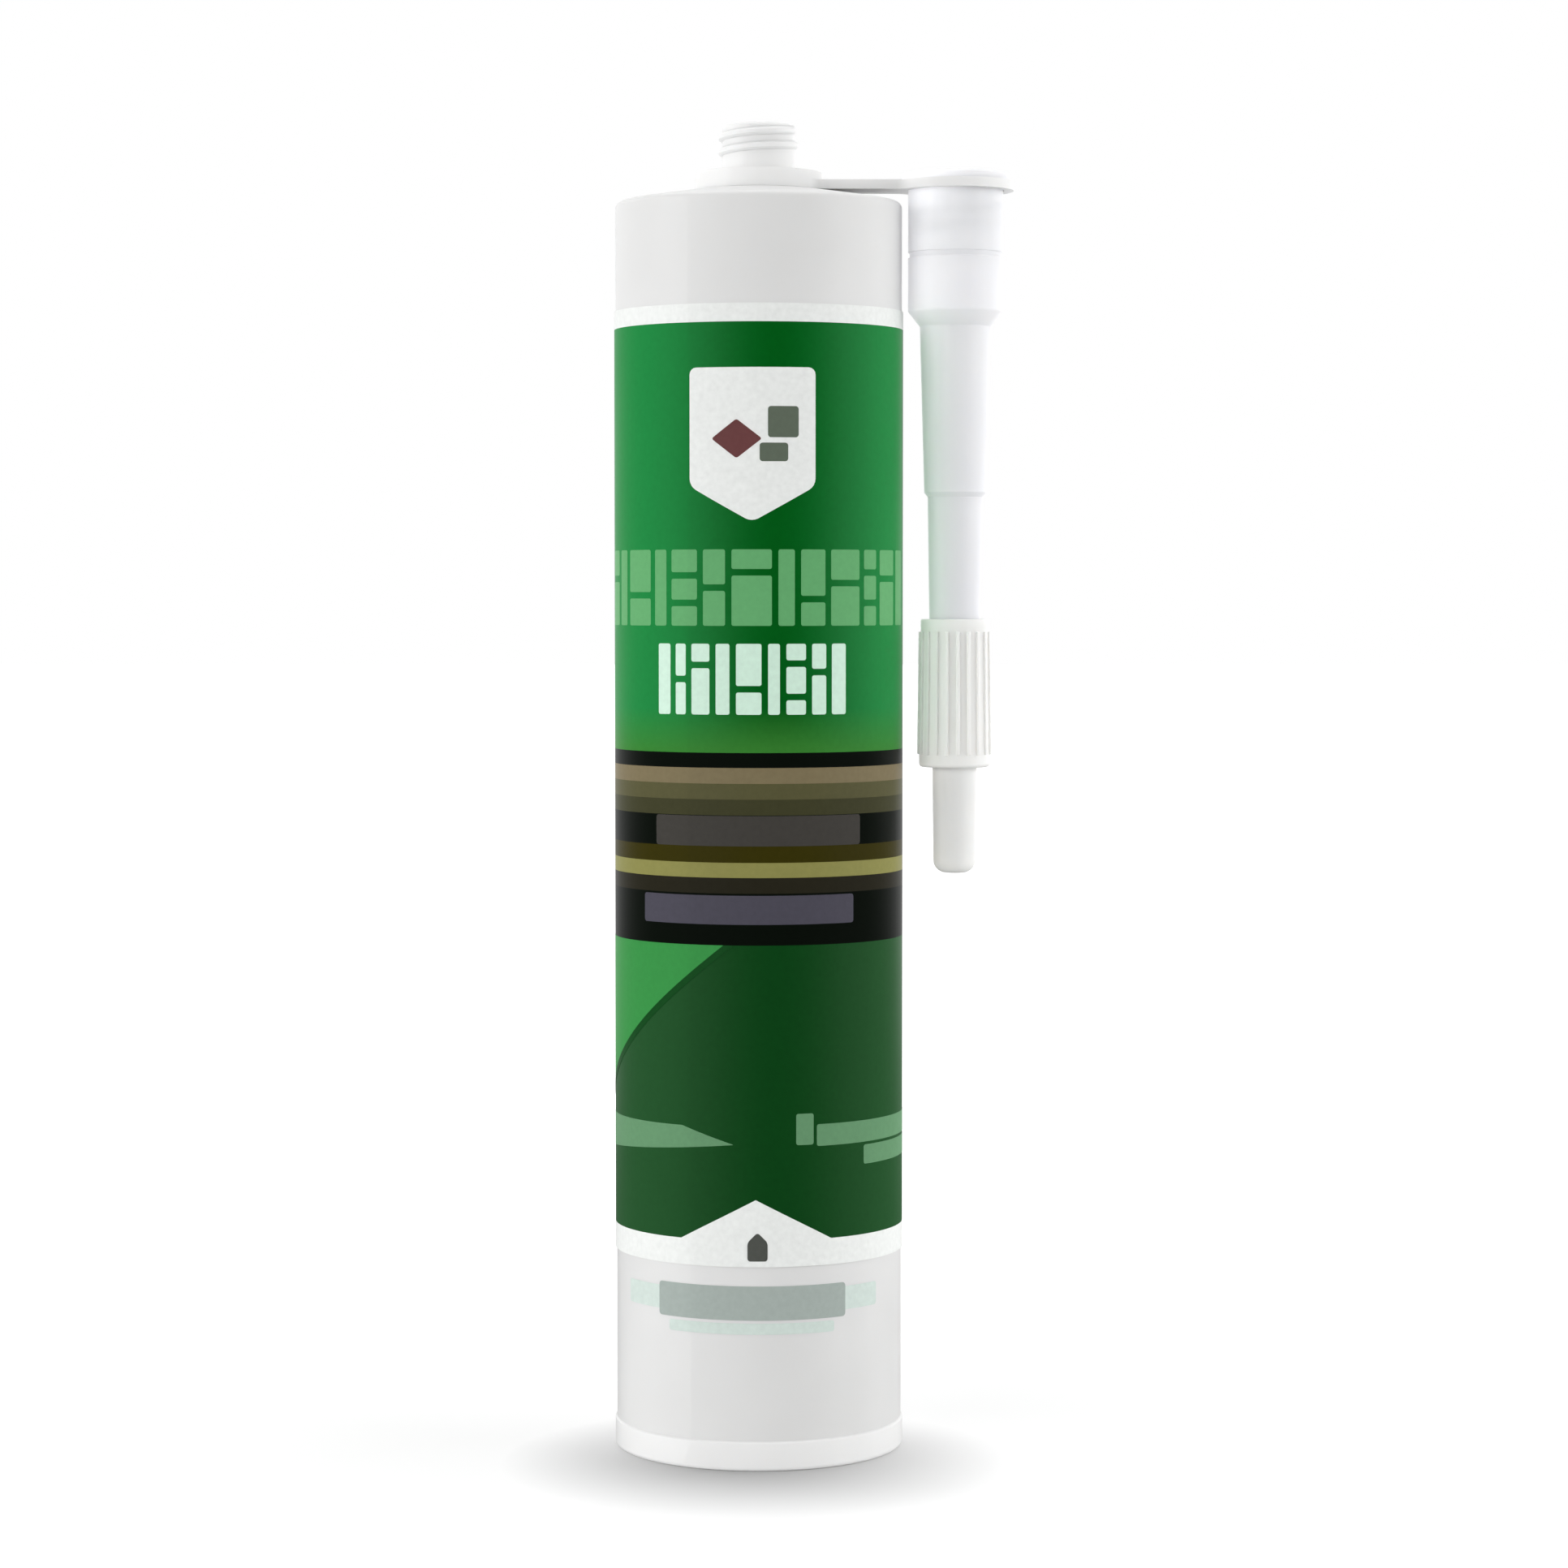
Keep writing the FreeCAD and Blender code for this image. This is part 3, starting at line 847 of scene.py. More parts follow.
@dataclass
class CartridgeBody:
    """Barrel, shoulder and closed neck: one moulding, open at the foot."""

    radius: float = 24.75 * MM
    wall: float = 1.3 * MM
    shoulder_height: float = 215.5 * MM
    shoulder_rise: float = 2.1 * MM
    seat_radius: float = 11.6 * MM
    head_thickness: float = 1.7 * MM
    mouth_relief: float = 0.25 * MM
    mouth_depth: float = 9.0 * MM
    lip_height: float = 5.1 * MM
    lip_proud: float = 0.3 * MM
    collar_radius: float = 7.25 * MM
    collar_height: float = 3.5 * MM
    neck_radius: float = 6.3 * MM
    neck_height: float = 11.4 * MM
    neck_wall: float = 1.7 * MM
    neck_cover: float = 1.2 * MM
    gate_radius: float = 1.6 * MM
    gate_depth: float = 0.35 * MM
    gate_flare: float = 0.3 * MM
    thread_proud: float = 0.6 * MM
    thread_start: float = 5.45 * MM
    segments: int = 224
    finish: MouldedPlastic = MouldedPlastic(
        name="milky_barrel_plastic",
        colour=(0.75, 0.75, 0.745),
        drift_colour=(0.72, 0.72, 0.715),
        roughness=0.34,
        milkiness=0.3,
        milk_depth=1.2 * MM,
        # The lighter foot lip and neck: partly thicker plastic, partly painted highlight from the
        # floor's bounce.
        thick_and_lit_colour=(0.84, 0.84, 0.835),
        thin_heights=(lip_height, shoulder_height + shoulder_rise - 0.2 * MM),
    )

    def outline(self) -> list[Corner]:
        """The moulding's outline.

        Returns:
            The corners, from the neck's end down outside and up again inside.
        """
        bore = self.radius - self.wall
        seat = self.shoulder_height + self.shoulder_rise
        neck_top = seat + self.neck_height
        collar_top = seat + self.collar_height
        lip = self.radius + self.lip_proud
        mouth = bore + self.mouth_relief
        neck_bore = self.neck_radius - self.neck_wall
        return [
            Corner(0, neck_top - self.gate_depth),
            Corner(self.gate_radius, neck_top - self.gate_depth, 0.15 * MM),
            Corner(self.gate_radius + self.gate_flare, neck_top, 0.1 * MM),
            Corner(self.neck_radius, neck_top, 0.6 * MM),
            Corner(self.neck_radius, collar_top, 0.25 * MM),
            Corner(self.collar_radius, collar_top, 0.2 * MM),
            Corner(self.collar_radius, seat, 0.3 * MM),
            Corner(self.seat_radius, seat, 0.5 * MM),
            Corner(self.radius, self.shoulder_height, 1.1 * MM),
            Corner(self.radius, self.lip_height, 0.15 * MM),
            Corner(lip, self.lip_height - self.lip_proud, 0.2 * MM),
            Corner(lip, 0, 0.8 * MM),
            Corner(mouth, 0, 0.2 * MM),
            Corner(mouth, self.mouth_depth - self.mouth_relief, 0.2 * MM),
            Corner(bore, self.mouth_depth, 0.2 * MM),
            Corner(bore, self.shoulder_height - self.head_thickness, 0.8 * MM),
            Corner(self.seat_radius, seat - self.head_thickness, 0.5 * MM),
            Corner(neck_bore, seat - self.head_thickness, 0.4 * MM),
            Corner(neck_bore, neck_top - self.neck_cover, 0.4 * MM),
            Corner(0, neck_top - self.neck_cover),
        ]

    def build(self) -> Piece:
        """Turn the moulding, wind its neck's thread and dress it.

        Returns:
            The moulding.
        """
        seat = self.shoulder_height + self.shoulder_rise
        shell = turn("cartridge_body_moulding", self.outline(), 0, self.segments)
        thread = Thread(
            root_radius=self.neck_radius - THREAD_SINK,
            crest_radius=self.neck_radius + self.thread_proud,
            start=seat + self.thread_start,
            turns=2,
        )
        piece = join(shell.name, [shell, thread.wind(0)])
        dress(piece, Body.BARREL, Slot.BARREL, self.finish.material())
        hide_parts("cartridge_body")
        return piece


def block_row(
    centre: float, bottom: float, top: float, blocks: tuple[tuple[float, ...], ...]
) -> tuple[PrintedShape, ...]:
    """A row of plain blocks beside each other, some of them split.

    Args:
        centre: The arc at the middle of the row.
        bottom: The row's lower edge.
        top: The row's upper edge.
        blocks: Each block's width, then the shares of its height where it is split.

    Returns:
        The blocks as printed shapes.
    """
    gap, rounding = 1.1, 0.35
    left = centre - (sum(width for width, *splits in blocks) + gap * (len(blocks) - 1)) / 2
    shapes = []
    for width, *splits in blocks:
        joints = [bottom + (top - bottom) * share for share in splits]
        feet = [bottom] + [joint + gap / 2 for joint in joints]
        heads = [joint - gap / 2 for joint in joints] + [top]
        for foot, head in zip(feet, heads):
            shapes.append(PrintedShape(left, left + width, foot, head, rounding))
        left += width + gap
    return tuple(shapes)


def mirrored(centre: float, half: float, height: float, across: float, up: float) -> tuple[Cut, Cut]:
    """Two cuts, one at each side of a centre, whose normals lean away from each other."""
    left = Cut(centre - half, height, (-across, up))
    return left, Cut(centre + half, height, (across, up))


def centred(
    centre: float, half: float, bottom: float, top: float, rounding: float, cuts: tuple[Cut, ...] = ()
) -> PrintedShape:
    """A printed shape that reaches as far to one side of a centre as to the other."""
    return PrintedShape(centre - half, centre + half, bottom, top, rounding, cuts)


@dataclass(frozen=True)
class Print:
    """Shapes of one ink on the film or the barrel, which make one piece."""

    name: str
    ink: Ink
    shapes: tuple[PrintedShape, ...]
    layer: int = 0
    radius: float = FILM_RADIUS
    sink: float = 0.02 * MM
    proud: float = 0.025 * MM

    def build(self) -> Piece:
        """Lay the shapes, join them and dress them in their ink.

        Returns:
            One object that holds all the shapes.
        """
        foot = self.radius + self.layer * self.proud - self.sink
        piece = join(self.name, [shape.lay(foot, self.sink + self.proud) for shape in self.shapes])
        dress(piece, Body.BARREL, Slot.FILM, ink_material(self.ink))
        return piece


WHITE_INK = Ink("white_ink", (0.93, 0.95, 0.93))
# The green ink's front colour is painted shade, darker where the barrel's core shade falls.
GREEN_INK = Ink(
    "green_ink",
    colour=(0.016, 0.265, 0.06),
    painted_shade_colour=(0.0005, 0.108, 0.009),
    foot_colour=(0.045, 0.235, 0.033),
    foot_range=(121 * MM, 129 * MM),
)
# Its front colour is painted shade too, darker where the barrel's core shade falls.
DARK_GREEN_INK = Ink("dark_green_ink", (0.02, 0.092, 0.027), painted_shade_colour=(0.004, 0.058, 0.009))
LIGHT_GREEN_INK = Ink("light_green_ink", (0.045, 0.3, 0.068))
EDGE_GREEN_INK = Ink("edge_green_ink", (0.008, 0.07, 0.014))
PALE_GREEN_INK = Ink("pale_green_ink", (0.145, 0.44, 0.175))
LINE_GREEN_INK = Ink("line_green_ink", (0.145, 0.32, 0.165))
MINT_INK = Ink("mint_ink", (0.7, 0.93, 0.78))
DARK_GREY_INK = Ink("dark_grey_ink", (0.09, 0.095, 0.085))
BROWN_INK = Ink("brown_ink", (0.16, 0.06, 0.06))
GREY_GREEN_INK = Ink("grey_green_ink", (0.13, 0.16, 0.12))
WARM_GREY_INK = Ink("warm_grey_ink", (0.06, 0.056, 0.05))
VIOLET_GREY_INK = Ink("violet_grey_ink", (0.08, 0.076, 0.1))
BAR_INK = Ink("bar_ink", (0.42, 0.48, 0.45))
PALE_BAR_INK = Ink("pale_bar_ink", (0.7, 0.8, 0.75))
BLACK: Colour = (0.003, 0.005, 0.003)
BAND_INK = BandInk("band_ink", BLACK, stripes=(
    (BAND_BOTTOM, BLACK),
    (97.9, (0.022, 0.02, 0.012)),
    (100.5, (0.28, 0.27, 0.085)),
    (103.1, (0.04, 0.034, 0.003)),
    (105.8, BLACK),
    (111.0, (0.055, 0.055, 0.025)),
    (113.7, (0.105, 0.1, 0.045)),
    (116.3, (0.22, 0.18, 0.1)),
    (119.0, BLACK),
))

# The film's fields of colour, each with the height of its upper edge.
FILM_FIELDS = (
    (39.3, WHITE_INK),
    (BAND_BOTTOM, DARK_GREEN_INK),
    (BAND_TOP, BAND_INK),
    (193.7, GREEN_INK),
    (196.8, WHITE_INK),
)
# Rows of blocks: each block's width, then the shares of its height where it is split.
UPPER_BLOCKS = (
    (4.6, 0.62), (2.8,), (6.2, 0.4), (2.6,), (5.0, 0.3, 0.66), (3.9, 0.5), (6.8, 0.7),
    (2.8,), (4.4, 0.35), (6.0, 0.56), (3.2, 0.3, 0.7), (5.0, 0.62), (3.8,),
)
LOWER_BLOCKS = (
    (2.6,), (2.0, 0.5), (3.3, 0.7), (2.4,), (4.3, 0.36), (2.0,), (3.4, 0.25, 0.72), (2.6, 0.6), (2.8,),
)

FILM_PRINTS = (
    # The light-green point that hangs from the band, with the darker line along its slope.
    Print("label_wedge", LIGHT_GREEN_INK, (
        PrintedShape(-70, -3.5, 58.6, BAND_BOTTOM, cuts=(
            Cut(-5.3, BAND_BOTTOM, WEDGE_SLOPE),
            Cut(-46, 61.6, (-27.6, -20.0)),
        )),
    )),
    Print("label_wedge_edge", EDGE_GREEN_INK, (
        PrintedShape(-46, -3.5, 60, BAND_BOTTOM, cuts=(
            Cut(-4.1, BAND_BOTTOM, WEDGE_SLOPE),
            Cut(-5.9, BAND_BOTTOM, (-WEDGE_SLOPE[0], -WEDGE_SLOPE[1])),
        )),
    ), layer=1),
    # The light lines at both sides of the lower field.
    Print("label_side_lines", LINE_GREEN_INK, (
        PrintedShape(-42, -4.1, 52, 58.5, 0.3, (
            Cut(-4.1, 55.5, (3.0, 9.4)),
            Cut(-4.1, 55.5, (2.5, -29.3)),
        )),
        PrintedShape(6.5, 9.6, 55.4, 60.7, 0.4),
        PrintedShape(10.2, 42, 55.1, 58.8, 0.4),
        PrintedShape(20, 42, 51.3, 54.6, 0.4),
    )),
    # The white peak that rises from the lower margin, and the small dark mark under it.
    Print("label_peak", WHITE_INK, (
        centred(ART_CENTRE + 0.6, 16, 38.8, 46.2, 0, mirrored(ART_CENTRE + 0.6, 0, 46.2, 1.0, 1.93)),
    )),
    Print("label_drop", DARK_GREY_INK, (
        centred(ART_CENTRE + 0.9, 1.7, 35.8, 40.7, 0.5, mirrored(ART_CENTRE + 0.9, 0, 40.7, 1.0, 1.0)),
    ), layer=1),
    # The white badge with its pointed foot, a brown lozenge on it, and a grey-green block and bar.
    Print("label_badge", WHITE_INK, (
        centred(ART_CENTRE, 10.9, 159, 186.1, 1.2, mirrored(ART_CENTRE, 10.9, 166.3, 4.7, -8.5)),
    )),
    Print("label_badge_left_mark", BROWN_INK, (
        centred(ART_CENTRE - 2.6, 4.3, 169.9, 178.5, 0.4, (
            *mirrored(ART_CENTRE - 2.6, 4.3, 174.2, 1.0, -1.3),
            *mirrored(ART_CENTRE - 2.6, 4.3, 174.2, 1.0, 1.3),
        )),
    ), layer=1),
    Print("label_badge_right_mark", GREY_GREEN_INK, (
        centred(ART_CENTRE + 5.3, 2.6, 174.4, 179.6, 0.5),
        centred(ART_CENTRE + 3.7, 2.4, 170.4, 173.5, 0.5),
    ), layer=1),
    # The long row of light-green blocks that runs round the front, and the short mint row under it.
    Print("label_upper_blocks", PALE_GREEN_INK, block_row(ART_CENTRE, 142.9, 155.7, UPPER_BLOCKS)),
    Print("label_lower_blocks", MINT_INK, block_row(ART_CENTRE - 0.3, 128.0, 139.9, LOWER_BLOCKS)),
    # The two bars in the dark band.
    Print("label_band_upper_bar", WARM_GREY_INK, (
        centred(ART_CENTRE + 1, 19, 105.9, 111.0, 0.5),
    )),
    Print("label_band_lower_bar", VIOLET_GREY_INK, (
        centred(ART_CENTRE - 1.25, 19.75, 92.7, 97.6, 0.5),
    )),
)

# The bars that are printed on the bare barrel, under the film.
BARREL_PRINTS = (
    Print("barrel_pale_bars", PALE_BAR_INK, (
        centred(BAR_CENTRE - 0.5, 25.5, 26.8, 30.8, 0.5),
        centred(BAR_CENTRE, 15, 23.3, 25.2, 0.4),
    ), radius=CartridgeBody.radius, proud=0.02 * MM),
    Print("barrel_bar", BAR_INK, (
        centred(BAR_CENTRE, 17.3, 25.7, 31.5, 0.6),
    ), layer=1, radius=CartridgeBody.radius, proud=0.02 * MM),
)


@dataclass
class PrintedFilm:
    """The film round the barrel, with its plain fields of colour."""

    inner_radius: float = 24.76 * MM
    bottom: float = 34.8 * MM
    seam_gap: float = 0.7 * MM
    columns: int = 300

    def build(self) -> Piece:
        """Cut a flat sheet into fields, thicken it and wrap it round the barrel.

        Returns:
            The film.
        """
        heights = [height * MM for height, _ in FILM_FIELDS]
        top = heights[-1]
        width = math.tau * FILM_RADIUS - self.seam_gap
        lay_sheet((0, 0, (self.bottom + top) / 2), width, top - self.bottom, self.columns)
        for height in heights[:-1]:
            cut_flat((0, 0, height), (0, 0, 1))
        thicken(FILM_RADIUS - self.inner_radius)
        end_shaping()
        piece = settle("label_film")
        dress(piece, Body.BARREL, Slot.FILM, *(ink_material(ink) for _, ink in FILM_FIELDS))
        for face in piece.data.polygons:
            face.material_index = sum(face.center.z > height for height in heights)
        wrap(piece, self.inner_radius)
        bpy.ops.object.shade_smooth_by_angle(angle=SMOOTH_ANGLE)
        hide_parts("printed_label")
        return piece


@dataclass
class ParkedNozzle:
    """The hollow stepped nozzle that hangs by its flange beside the barrel."""

    flange_radius: float = 9.35 * MM
    flange_thickness: float = 1.4 * MM
    base_radius: float = 8.2 * MM
    socket_radius: float = 7.3 * MM
    socket_depth: float = 15.0 * MM
    thread_drop: float = 9.6 * MM
    thread_proud: float = 0.55 * MM
    base_length: float = 22.3 * MM
    base_taper: float = 2.6 * MM
    groove_drop: float = 12.2 * MM
    groove_height: float = 0.9 * MM
    groove_depth: float = 0.3 * MM
    spout_radius: float = 6.15 * MM
    upper_length: float = 28.6 * MM
    lower_length: float = 45.5 * MM
    tip_length: float = 15.2 * MM
    step: float = 0.8 * MM
    wall: float = 1.15 * MM
    segments: int = 128
    finish: MouldedPlastic = MouldedPlastic(
        name="milky_nozzle_plastic",
        colour=(0.87, 0.87, 0.89),
        drift_colour=(0.84, 0.84, 0.875),
        roughness=0.3,
        milkiness=0.6,
        milk_depth=2.5 * MM,
    )

    def outline(self, seat: float) -> list[Corner]:
        """The nozzle's outline, closed round its wall.

        Args:
            seat: The height that the flange rests on.

        Returns:
            The corners, down the outside and up the bore.
        """
        base = seat - self.base_length
        upper = base - self.base_taper
        upper_end = upper - self.upper_length
        lower = upper_end - self.step
        lower_end = lower - self.lower_length
        tip = lower_end - self.step
        tip_end = tip - self.tip_length
        groove = seat - self.groove_drop
        groove_end = groove - self.groove_height
        groove_radius = self.base_radius - self.groove_depth
        # Each corner of the spout's outside, with how far the bore's corner lies above it and
        # how far that is rounded.
        spout = [
            (Corner(self.spout_radius, upper, 0.4 * MM), 0.0, 0.4 * MM),
            (Corner(5.35 * MM, upper_end, 0.2 * MM), self.step, 0.2 * MM),
            (Corner(4.75 * MM, lower, 0.2 * MM), 0.0, 0.2 * MM),
            (Corner(4.05 * MM, lower_end, 0.2 * MM), self.step, 0.2 * MM),
            (Corner(2.75 * MM, tip, 0.2 * MM), 0.0, 0.1 * MM),
            (Corner(2.35 * MM, tip_end, 0.38 * MM), 0.0, 0.15 * MM),
        ]
        bore = [
            Corner(corner.radius - self.wall, corner.height + lift, rounding)
            for corner, lift, rounding in reversed(spout)
        ]
        return [
            Corner(self.socket_radius, seat + self.flange_thickness, 0.3 * MM),
            Corner(self.flange_radius, seat + self.flange_thickness, 0.5 * MM),
            Corner(self.flange_radius, seat, 0.2 * MM),
            Corner(self.base_radius, seat, 0.1 * MM),
            Corner(self.base_radius, groove, 0.12 * MM),
            Corner(groove_radius, groove, 0.1 * MM),
            Corner(groove_radius, groove_end, 0.1 * MM),
            Corner(self.base_radius, groove_end, 0.12 * MM),
            Corner(self.base_radius, base, 0.87 * MM),
            *(corner for corner, _, _ in spout),
            *bore,
            Corner(self.spout_radius, seat - self.socket_depth, 0.2 * MM),
            Corner(self.socket_radius, seat - self.socket_depth, 0.3 * MM),
        ]

    def build(self) -> Piece:
        """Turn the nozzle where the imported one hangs, wind its socket's thread and dress it.

        Returns:
            The nozzle.
        """
        low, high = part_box("nozzle")
        seat = high.z - self.flange_thickness
        axis_x = (low.x + high.x) / 2
        shell = turn("nozzle_moulding", self.outline(seat), axis_x, self.segments, closed=True)
        thread = Thread(
            root_radius=self.socket_radius + THREAD_SINK,
            crest_radius=self.socket_radius - self.thread_proud,
            start=seat - self.thread_drop,
            turns=3,
        )
        piece = join(shell.name, [shell, thread.wind(axis_x)])
        dress(piece, Body.HOLDER, Slot.NOZZLE, self.finish.material())
        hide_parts("nozzle")
        return piece


@dataclass
class NozzleCap:
    """The closed cap on the nozzle's tip, with grip ribs round its wide part."""

    rib_count: int = 20
    faces_per_rib: int = 6
    rib_faces: int = 2
    rib_proud: float = 0.35 * MM
    rib_margin: float = 2.2 * MM
    rib_rounding: float = 0.12 * MM
    rim_radius: float = 5.9 * MM
    heel_radius: float = 6.2 * MM
    heel_height: float = 18.4 * MM
    end_radius: float = 3.65 * MM
    stem_radius: float = 3.85 * MM
    mouth_radius: float = 4.575 * MM
    floor_radius: float = 4.2 * MM
    floor_rise: float = 1.1 * MM
    step: float = 0.8 * MM
    tip_radius: float = 2.9 * MM
    tip_floor_radius: float = 2.5 * MM
    tip_floor_rise: float = 2.55 * MM
    finish: MouldedPlastic = MouldedPlastic(
        name="milky_cap_plastic",
        colour=(0.92, 0.915, 0.89),
        drift_colour=(0.88, 0.875, 0.85),
        roughness=0.32,
        milkiness=0.6,
        milk_depth=2.5 * MM,
    )

    def outline(self, bottom: float, top: float) -> list[Corner]:
        """The cap's outline, from its closed end up outside and down the bore.

        Args:
            bottom: The height of the slender end.
            top: The height of the open rim.

        Returns:
            The corners, both ends on the axis.
        """
        heel = bottom + self.heel_height
        floor = heel + self.floor_rise
        tip_floor = bottom + self.tip_floor_rise
        return [
            Corner(0, bottom),
            Corner(self.end_radius, bottom, 2.2 * MM),
            Corner(self.stem_radius, heel, 0.3 * MM),
            Corner(self.heel_radius, heel, 0.7 * MM),
            Corner(self.rim_radius, top, 0.3 * MM),
            Corner(self.mouth_radius, top, 0.3 * MM),
            Corner(self.floor_radius, floor, 0.1 * MM),
            Corner(self.tip_radius, floor - self.step, 0.1 * MM),
            Corner(self.tip_floor_radius, tip_floor, 0.2 * MM),
            Corner(0, tip_floor),
        ]

    def build(self) -> Piece:
        """Turn the cap, raise its ribs and dress it.

        Returns:
            The cap.
        """
        low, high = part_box("nozzle_cap")
        axis_x = (low.x + high.x) / 2
        segments = self.rib_count * self.faces_per_rib
        piece = turn("nozzle_cap_moulding", self.outline(low.z, high.z), axis_x, segments)
        self.raise_ribs(piece, Vector((axis_x, 0, 0)), low.z + self.heel_height, high.z)
        dress(piece, Body.CAP, Slot.CAP, self.finish.material())
        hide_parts("nozzle_cap")
        return piece

    def raise_ribs(self, piece: Piece, axis: Vector, heel: float, rim: float) -> None:
        """Raise the grip ribs out of the cap's wide part.

        Args:
            piece: The turned cap.
            axis: A point on the cap's axis.
            heel: The height of the wide part's lower end.
            rim: The height of its open rim.
        """
        take(piece)
        start_shaping("FACE")
        foot, head = heel + self.rib_margin, rim - self.rib_margin
        for height in (foot, head):
            cut_flat((0, 0, height), (0, 0, 1))
        bpy.ops.mesh.select_all(action="DESELECT")
        bpy.ops.object.mode_set(mode="OBJECT")
        pitch = math.tau / self.rib_count
        rib_share = self.rib_faces / self.faces_per_rib
        for face in piece.data.polygons:
            offset = face.center - axis
            outside = math.hypot(offset.x, offset.y) > self.rim_radius - 0.5 * MM
            between = foot < offset.z < head
            turn_share = (math.atan2(offset.y, offset.x) % pitch) / pitch
            face.select = outside and between and turn_share < rib_share
        bpy.ops.object.mode_set(mode="EDIT")
        bpy.ops.mesh.extrude_region_shrink_fatten(
            TRANSFORM_OT_shrink_fatten={"value": self.rib_proud}
        )
        bpy.ops.mesh.region_to_loop()
        bpy.ops.mesh.bevel(offset=self.rib_rounding, segments=2, affect="EDGES")
        end_shaping()
        settle(piece.name)


@dataclass
class SealantColumn:
    """The white sealant paste between the piston and the head."""

    fixed_end: float = 213.8 * MM
    piston_travel: float = 175 * MM
    parting: float = 0.05 * MM
    foot_inset: float = 1.5 * MM
    foot_rise: float = 0.1 * MM
    segments: int = 128
    finish: MouldedPlastic = MouldedPlastic(
        name="white_sealant_paste",
        colour=(0.82, 0.82, 0.8),
        drift_colour=(0.79, 0.79, 0.77),
        roughness=0.42,
        milkiness=0.4,
        milk_depth=1.5 * MM,
        grain_size=2.2 * MM,
        grain_depth=0.03 * MM,
    )

    def build(self) -> Piece:
        """Turn the column, dress it and give it a mesh of its own.

        Returns:
            The column.
        """
        low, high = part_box("sealant_fill")
        radius = high.x
        shoulder = high.z - CartridgeBody.shoulder_rise
        piece = turn("sealant_column", [
            Corner(0, low.z),
            Corner(radius - self.foot_inset, low.z),
            Corner(radius, low.z + self.foot_rise),
            Corner(radius, shoulder, 0.8 * MM),
            Corner(CartridgeBody.seat_radius, high.z, 0.5 * MM),
            Corner(0, high.z),
        ], 0, self.segments)
        dress(piece, Body.BARREL, Slot.SEALANT, self.finish.material())
        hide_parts("sealant_fill")
        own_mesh(piece)
        return piece


@dataclass
class CarriedOver:
    """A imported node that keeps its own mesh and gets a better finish."""

    node: str
    slot: Slot
    finish: MouldedPlastic

    def build(self) -> Piece:
        """Dress the node.

        Returns:
            The node's object.
        """
        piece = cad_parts[self.node]
        material = self.finish.material()
        for place in piece.material_slots:
            place.material = material
        return piece


HOLDER = CarriedOver("nozzle_holder", Slot.HOLDER, MouldedPlastic(
    name="holder_plastic_satin",
    colour=(0.85, 0.85, 0.845),
    drift_colour=(0.82, 0.82, 0.815),
    roughness=0.34,
    milkiness=0.3,
    milk_depth=1.2 * MM,
))
PISTON = CarriedOver("piston", Slot.PISTON, MouldedPlastic(
    name="piston_plastic_satin",
    colour=(0.8, 0.8, 0.78),
    drift_colour=(0.76, 0.76, 0.74),
    roughness=0.4,
    milkiness=0.25,
    milk_depth=1.0 * MM,
))


@dataclass(frozen=True)
class Softbox:
    """A large soft lamp, which may be hidden from gloss or kept to some pieces."""

    name: str
    place: tuple[float, float, float]
    size: tuple[float, float]
    power: float
    gloss: bool = True
    only: tuple[str, ...] = ()
    aim: tuple[float, float, float] = (0.0, 0.0, 110 * MM)

    def hang(self) -> None:
        """Hang the lamp; where it names pieces, it lights only them, and only they shade it."""
        lamp = bpy.data.lights.new(self.name, "AREA")
        lamp.shape = "RECTANGLE"
        lamp.size, lamp.size_y = self.size
        lamp.energy = self.power
        holder = bpy.data.objects.new(self.name, lamp)
        holder.location = self.place
        way = Vector(self.aim) - Vector(self.place)
        holder.rotation_euler = way.to_track_quat("-Z", "Y").to_euler()
        holder.visible_camera = False
        holder.visible_glossy = self.gloss
        bpy.context.scene.collection.objects.link(holder)
        if self.only:
            lit = bpy.data.collections.new(self.name + "_pieces")
            for name in self.only:
                lit.objects.link(bpy.data.objects[name])
            holder.light_linking.receiver_collection = lit
            holder.light_linking.blocker_collection = lit


LEFT, LEFT_SIZE = (-0.82, -0.57, 0.2), (1.4, 0.9)
RIGHT, RIGHT_SIZE = (1.0, -0.03, 0.2), (1.2, 0.9)
SOFTBOXES = (
    Softbox("left_softbox", LEFT, LEFT_SIZE, 12.0, gloss=False),
    Softbox("left_sheen_softbox", LEFT, LEFT_SIZE, 5.5),
    Softbox("right_softbox", RIGHT, RIGHT_SIZE, 13.0, gloss=False),
    Softbox("right_sheen_softbox", RIGHT, RIGHT_SIZE, 5.5),
    Softbox("top_softbox", (0.0, 0.1, 1.3), (1.5, 1.5), 10.0),
    Softbox(
        "nozzle_fill_softbox", (-0.95, -0.3, 0.2), (0.8, 0.8), 6.5, gloss=False,
        only=("nozzle_moulding", "nozzle_cap_moulding"),
    ),
)


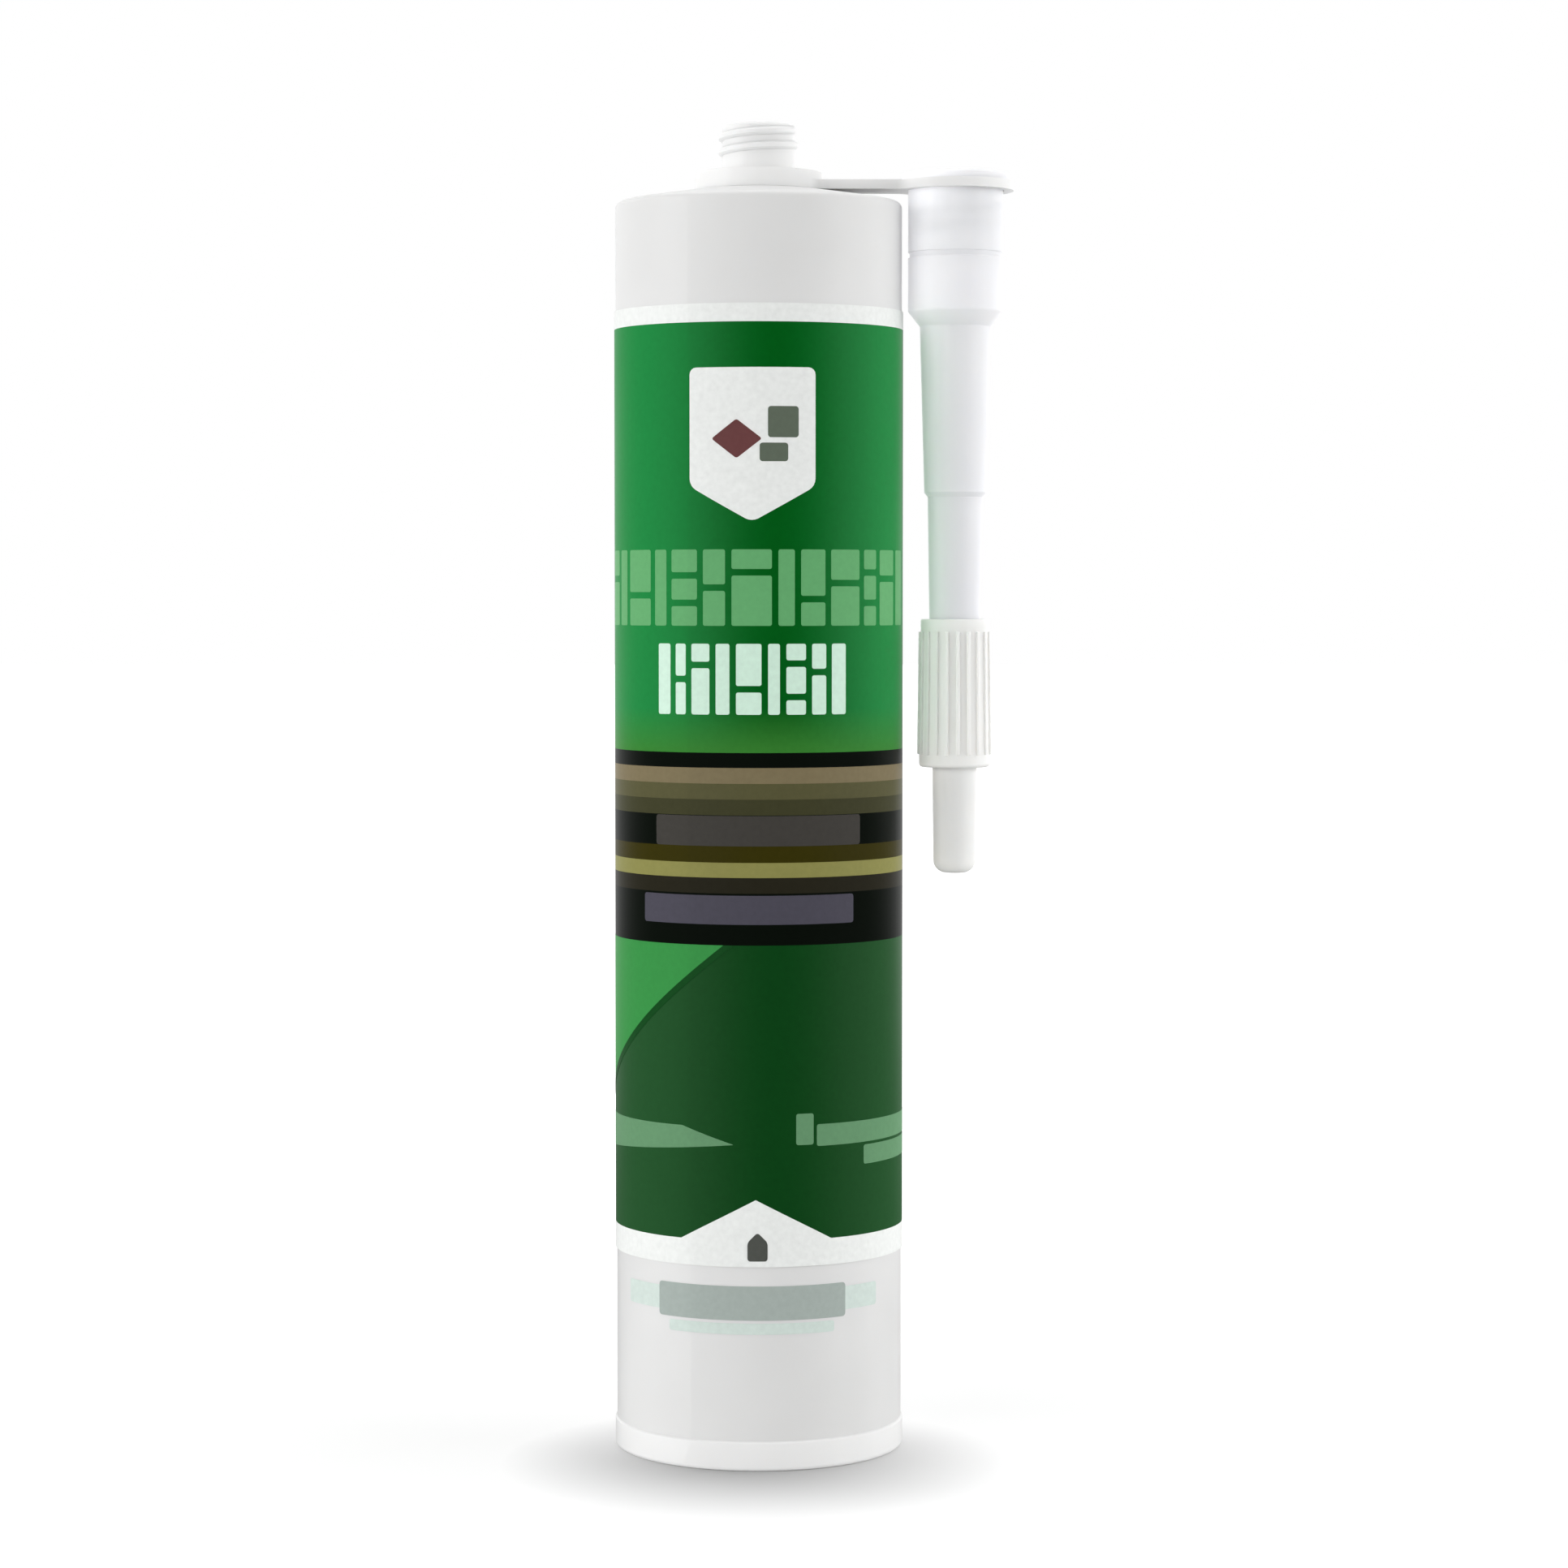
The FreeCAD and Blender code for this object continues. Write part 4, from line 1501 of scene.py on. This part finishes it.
@dataclass
class Studio:
    """Floor, soft light, white surroundings and the camera."""

    camera_place: tuple[float, float, float] = (4.37 * MM, -705 * MM, 148 * MM)
    camera_dip: float = 2.66
    field_of_view: float = 21.86
    floor_size: float = 16.0
    floor_grey: float = 0.45
    front_level: float = 0.12
    room_reach: tuple[float, float] = (0.1, 1.0)
    # The glows fade out towards shade_centre, which leaves a painted shadow round the foot.
    near_glow: float = 0.55
    far_glow: float = 0.62
    shade_centre: tuple[float, float, float] = (0.0, -16 * MM, 0.0)
    shade_radius: float = 10 * MM
    near_radius: float = 44 * MM
    far_radius: float = 600 * MM
    bounce_glow: float = 0.22
    bounce_reach: tuple[float, float] = (100 * MM, 350 * MM)

    def build(self) -> None:
        """Set the whole studio up."""
        self.place_camera()
        self.lay_floor()
        self.light_surroundings()
        for softbox in SOFTBOXES:
            softbox.hang()
        bpy.context.scene.view_settings.view_transform = "Standard"

    def place_camera(self) -> None:
        """Put the camera where the photograph was taken from."""
        camera = bpy.data.cameras.new("camera")
        camera.sensor_fit = "HORIZONTAL"
        camera.angle = math.radians(self.field_of_view)
        holder = bpy.data.objects.new("camera", camera)
        holder.location = self.camera_place
        holder.rotation_euler = (math.radians(90 - self.camera_dip), 0, 0)
        bpy.context.scene.collection.objects.link(holder)
        bpy.context.scene.camera = holder

    def straight_ray(self, desk: NodeDesk) -> Socket:
        """One for the rays that see the surroundings themselves, or see them through a piece."""
        path = desk.add("LightPath").outputs
        return desk.maths("MAXIMUM", path["Is Camera Ray"], path["Is Transmission Ray"])

    def room_level(self, desk: NodeDesk, way: Socket) -> Socket:
        """How bright the surroundings are: dim in front and white behind the cartridge."""
        return desk.ramp(desk.along("Y", way), *self.room_reach, self.front_level, 1.0, soft=True)

    def lay_floor(self) -> None:
        """Lay the pale floor, which shows white and keeps the object's shadow, deepened by a painted
        shadow where its glow fades out towards the foot.
        """
        deselect()
        bpy.ops.mesh.primitive_plane_add(size=self.floor_size)
        floor = settle("floor")
        desk = MaterialDesk("pale_floor")
        place = desk.place()
        # Painted shadow: the glow for the eye rises from nothing near shade_centre, a little in front
        # of the foot, so the dim grey floor shows there as a dark pool.
        away = desk.add("VectorMath", {0: place, 1: self.shade_centre}, operation="DISTANCE")
        distance = away.outputs["Value"]
        near = desk.ramp(distance, self.shade_radius, self.near_radius, 0.0, self.near_glow)
        far = desk.ramp(distance, self.near_radius, self.far_radius, 0.0, self.far_glow, soft=True)
        bounce = desk.ramp(distance, *self.bounce_reach, self.bounce_glow, 0.0, soft=True)
        glow = desk.mix(self.straight_ray(desk), bounce, desk.maths("ADD", near, far), Mix.NUMBERS)
        desk.feed(desk.shader, {
            "Base Color": opaque((self.floor_grey,) * 3),
            "Roughness": 1.0,
            "Specular IOR Level": 0.0,
            "Emission Color": opaque(WHITE),
            "Emission Strength": glow,
        })
        reflected = desk.add("Emission", {"Strength": self.room_level(desk, place)})
        either = desk.add("MixShader", {
            0: desk.add("LightPath").outputs["Is Glossy Ray"],
            1: desk.shader.outputs["BSDF"],
            2: reflected.outputs["Emission"],
        })
        desk.feed(desk.tree.nodes["Material Output"], {"Surface": either.outputs["Shader"]})
        floor.data.materials.append(desk.material)

    def light_surroundings(self) -> None:
        """Make the surroundings white to the eye, with a white backdrop and a dim room in front."""
        world = bpy.data.worlds.new("studio")
        world.use_nodes = True
        desk = NodeDesk(world.node_tree)
        room = self.room_level(desk, desk.add("TexCoord").outputs["Generated"])
        desk.feed(desk.tree.nodes["Background"], {
            "Color": opaque(WHITE),
            "Strength": desk.mix(self.straight_ray(desk), room, 1.0, Mix.NUMBERS),
        })
        bpy.context.scene.world = world


def main() -> None:
    """Build every piece in turn, report it and set the studio up."""
    logging.basicConfig(level=logging.INFO, format="%(message)s")
    makers = [CartridgeBody(), PrintedFilm(), *FILM_PRINTS, *BARREL_PRINTS]
    makers += [ParkedNozzle(), NozzleCap(), SealantColumn(), HOLDER, PISTON]
    for maker in makers:
        piece = maker.build()
        LOG.info("%s: %d faces", piece.name, len(piece.data.polygons))
    Studio().build()


if __name__ == "__main__":
    main()
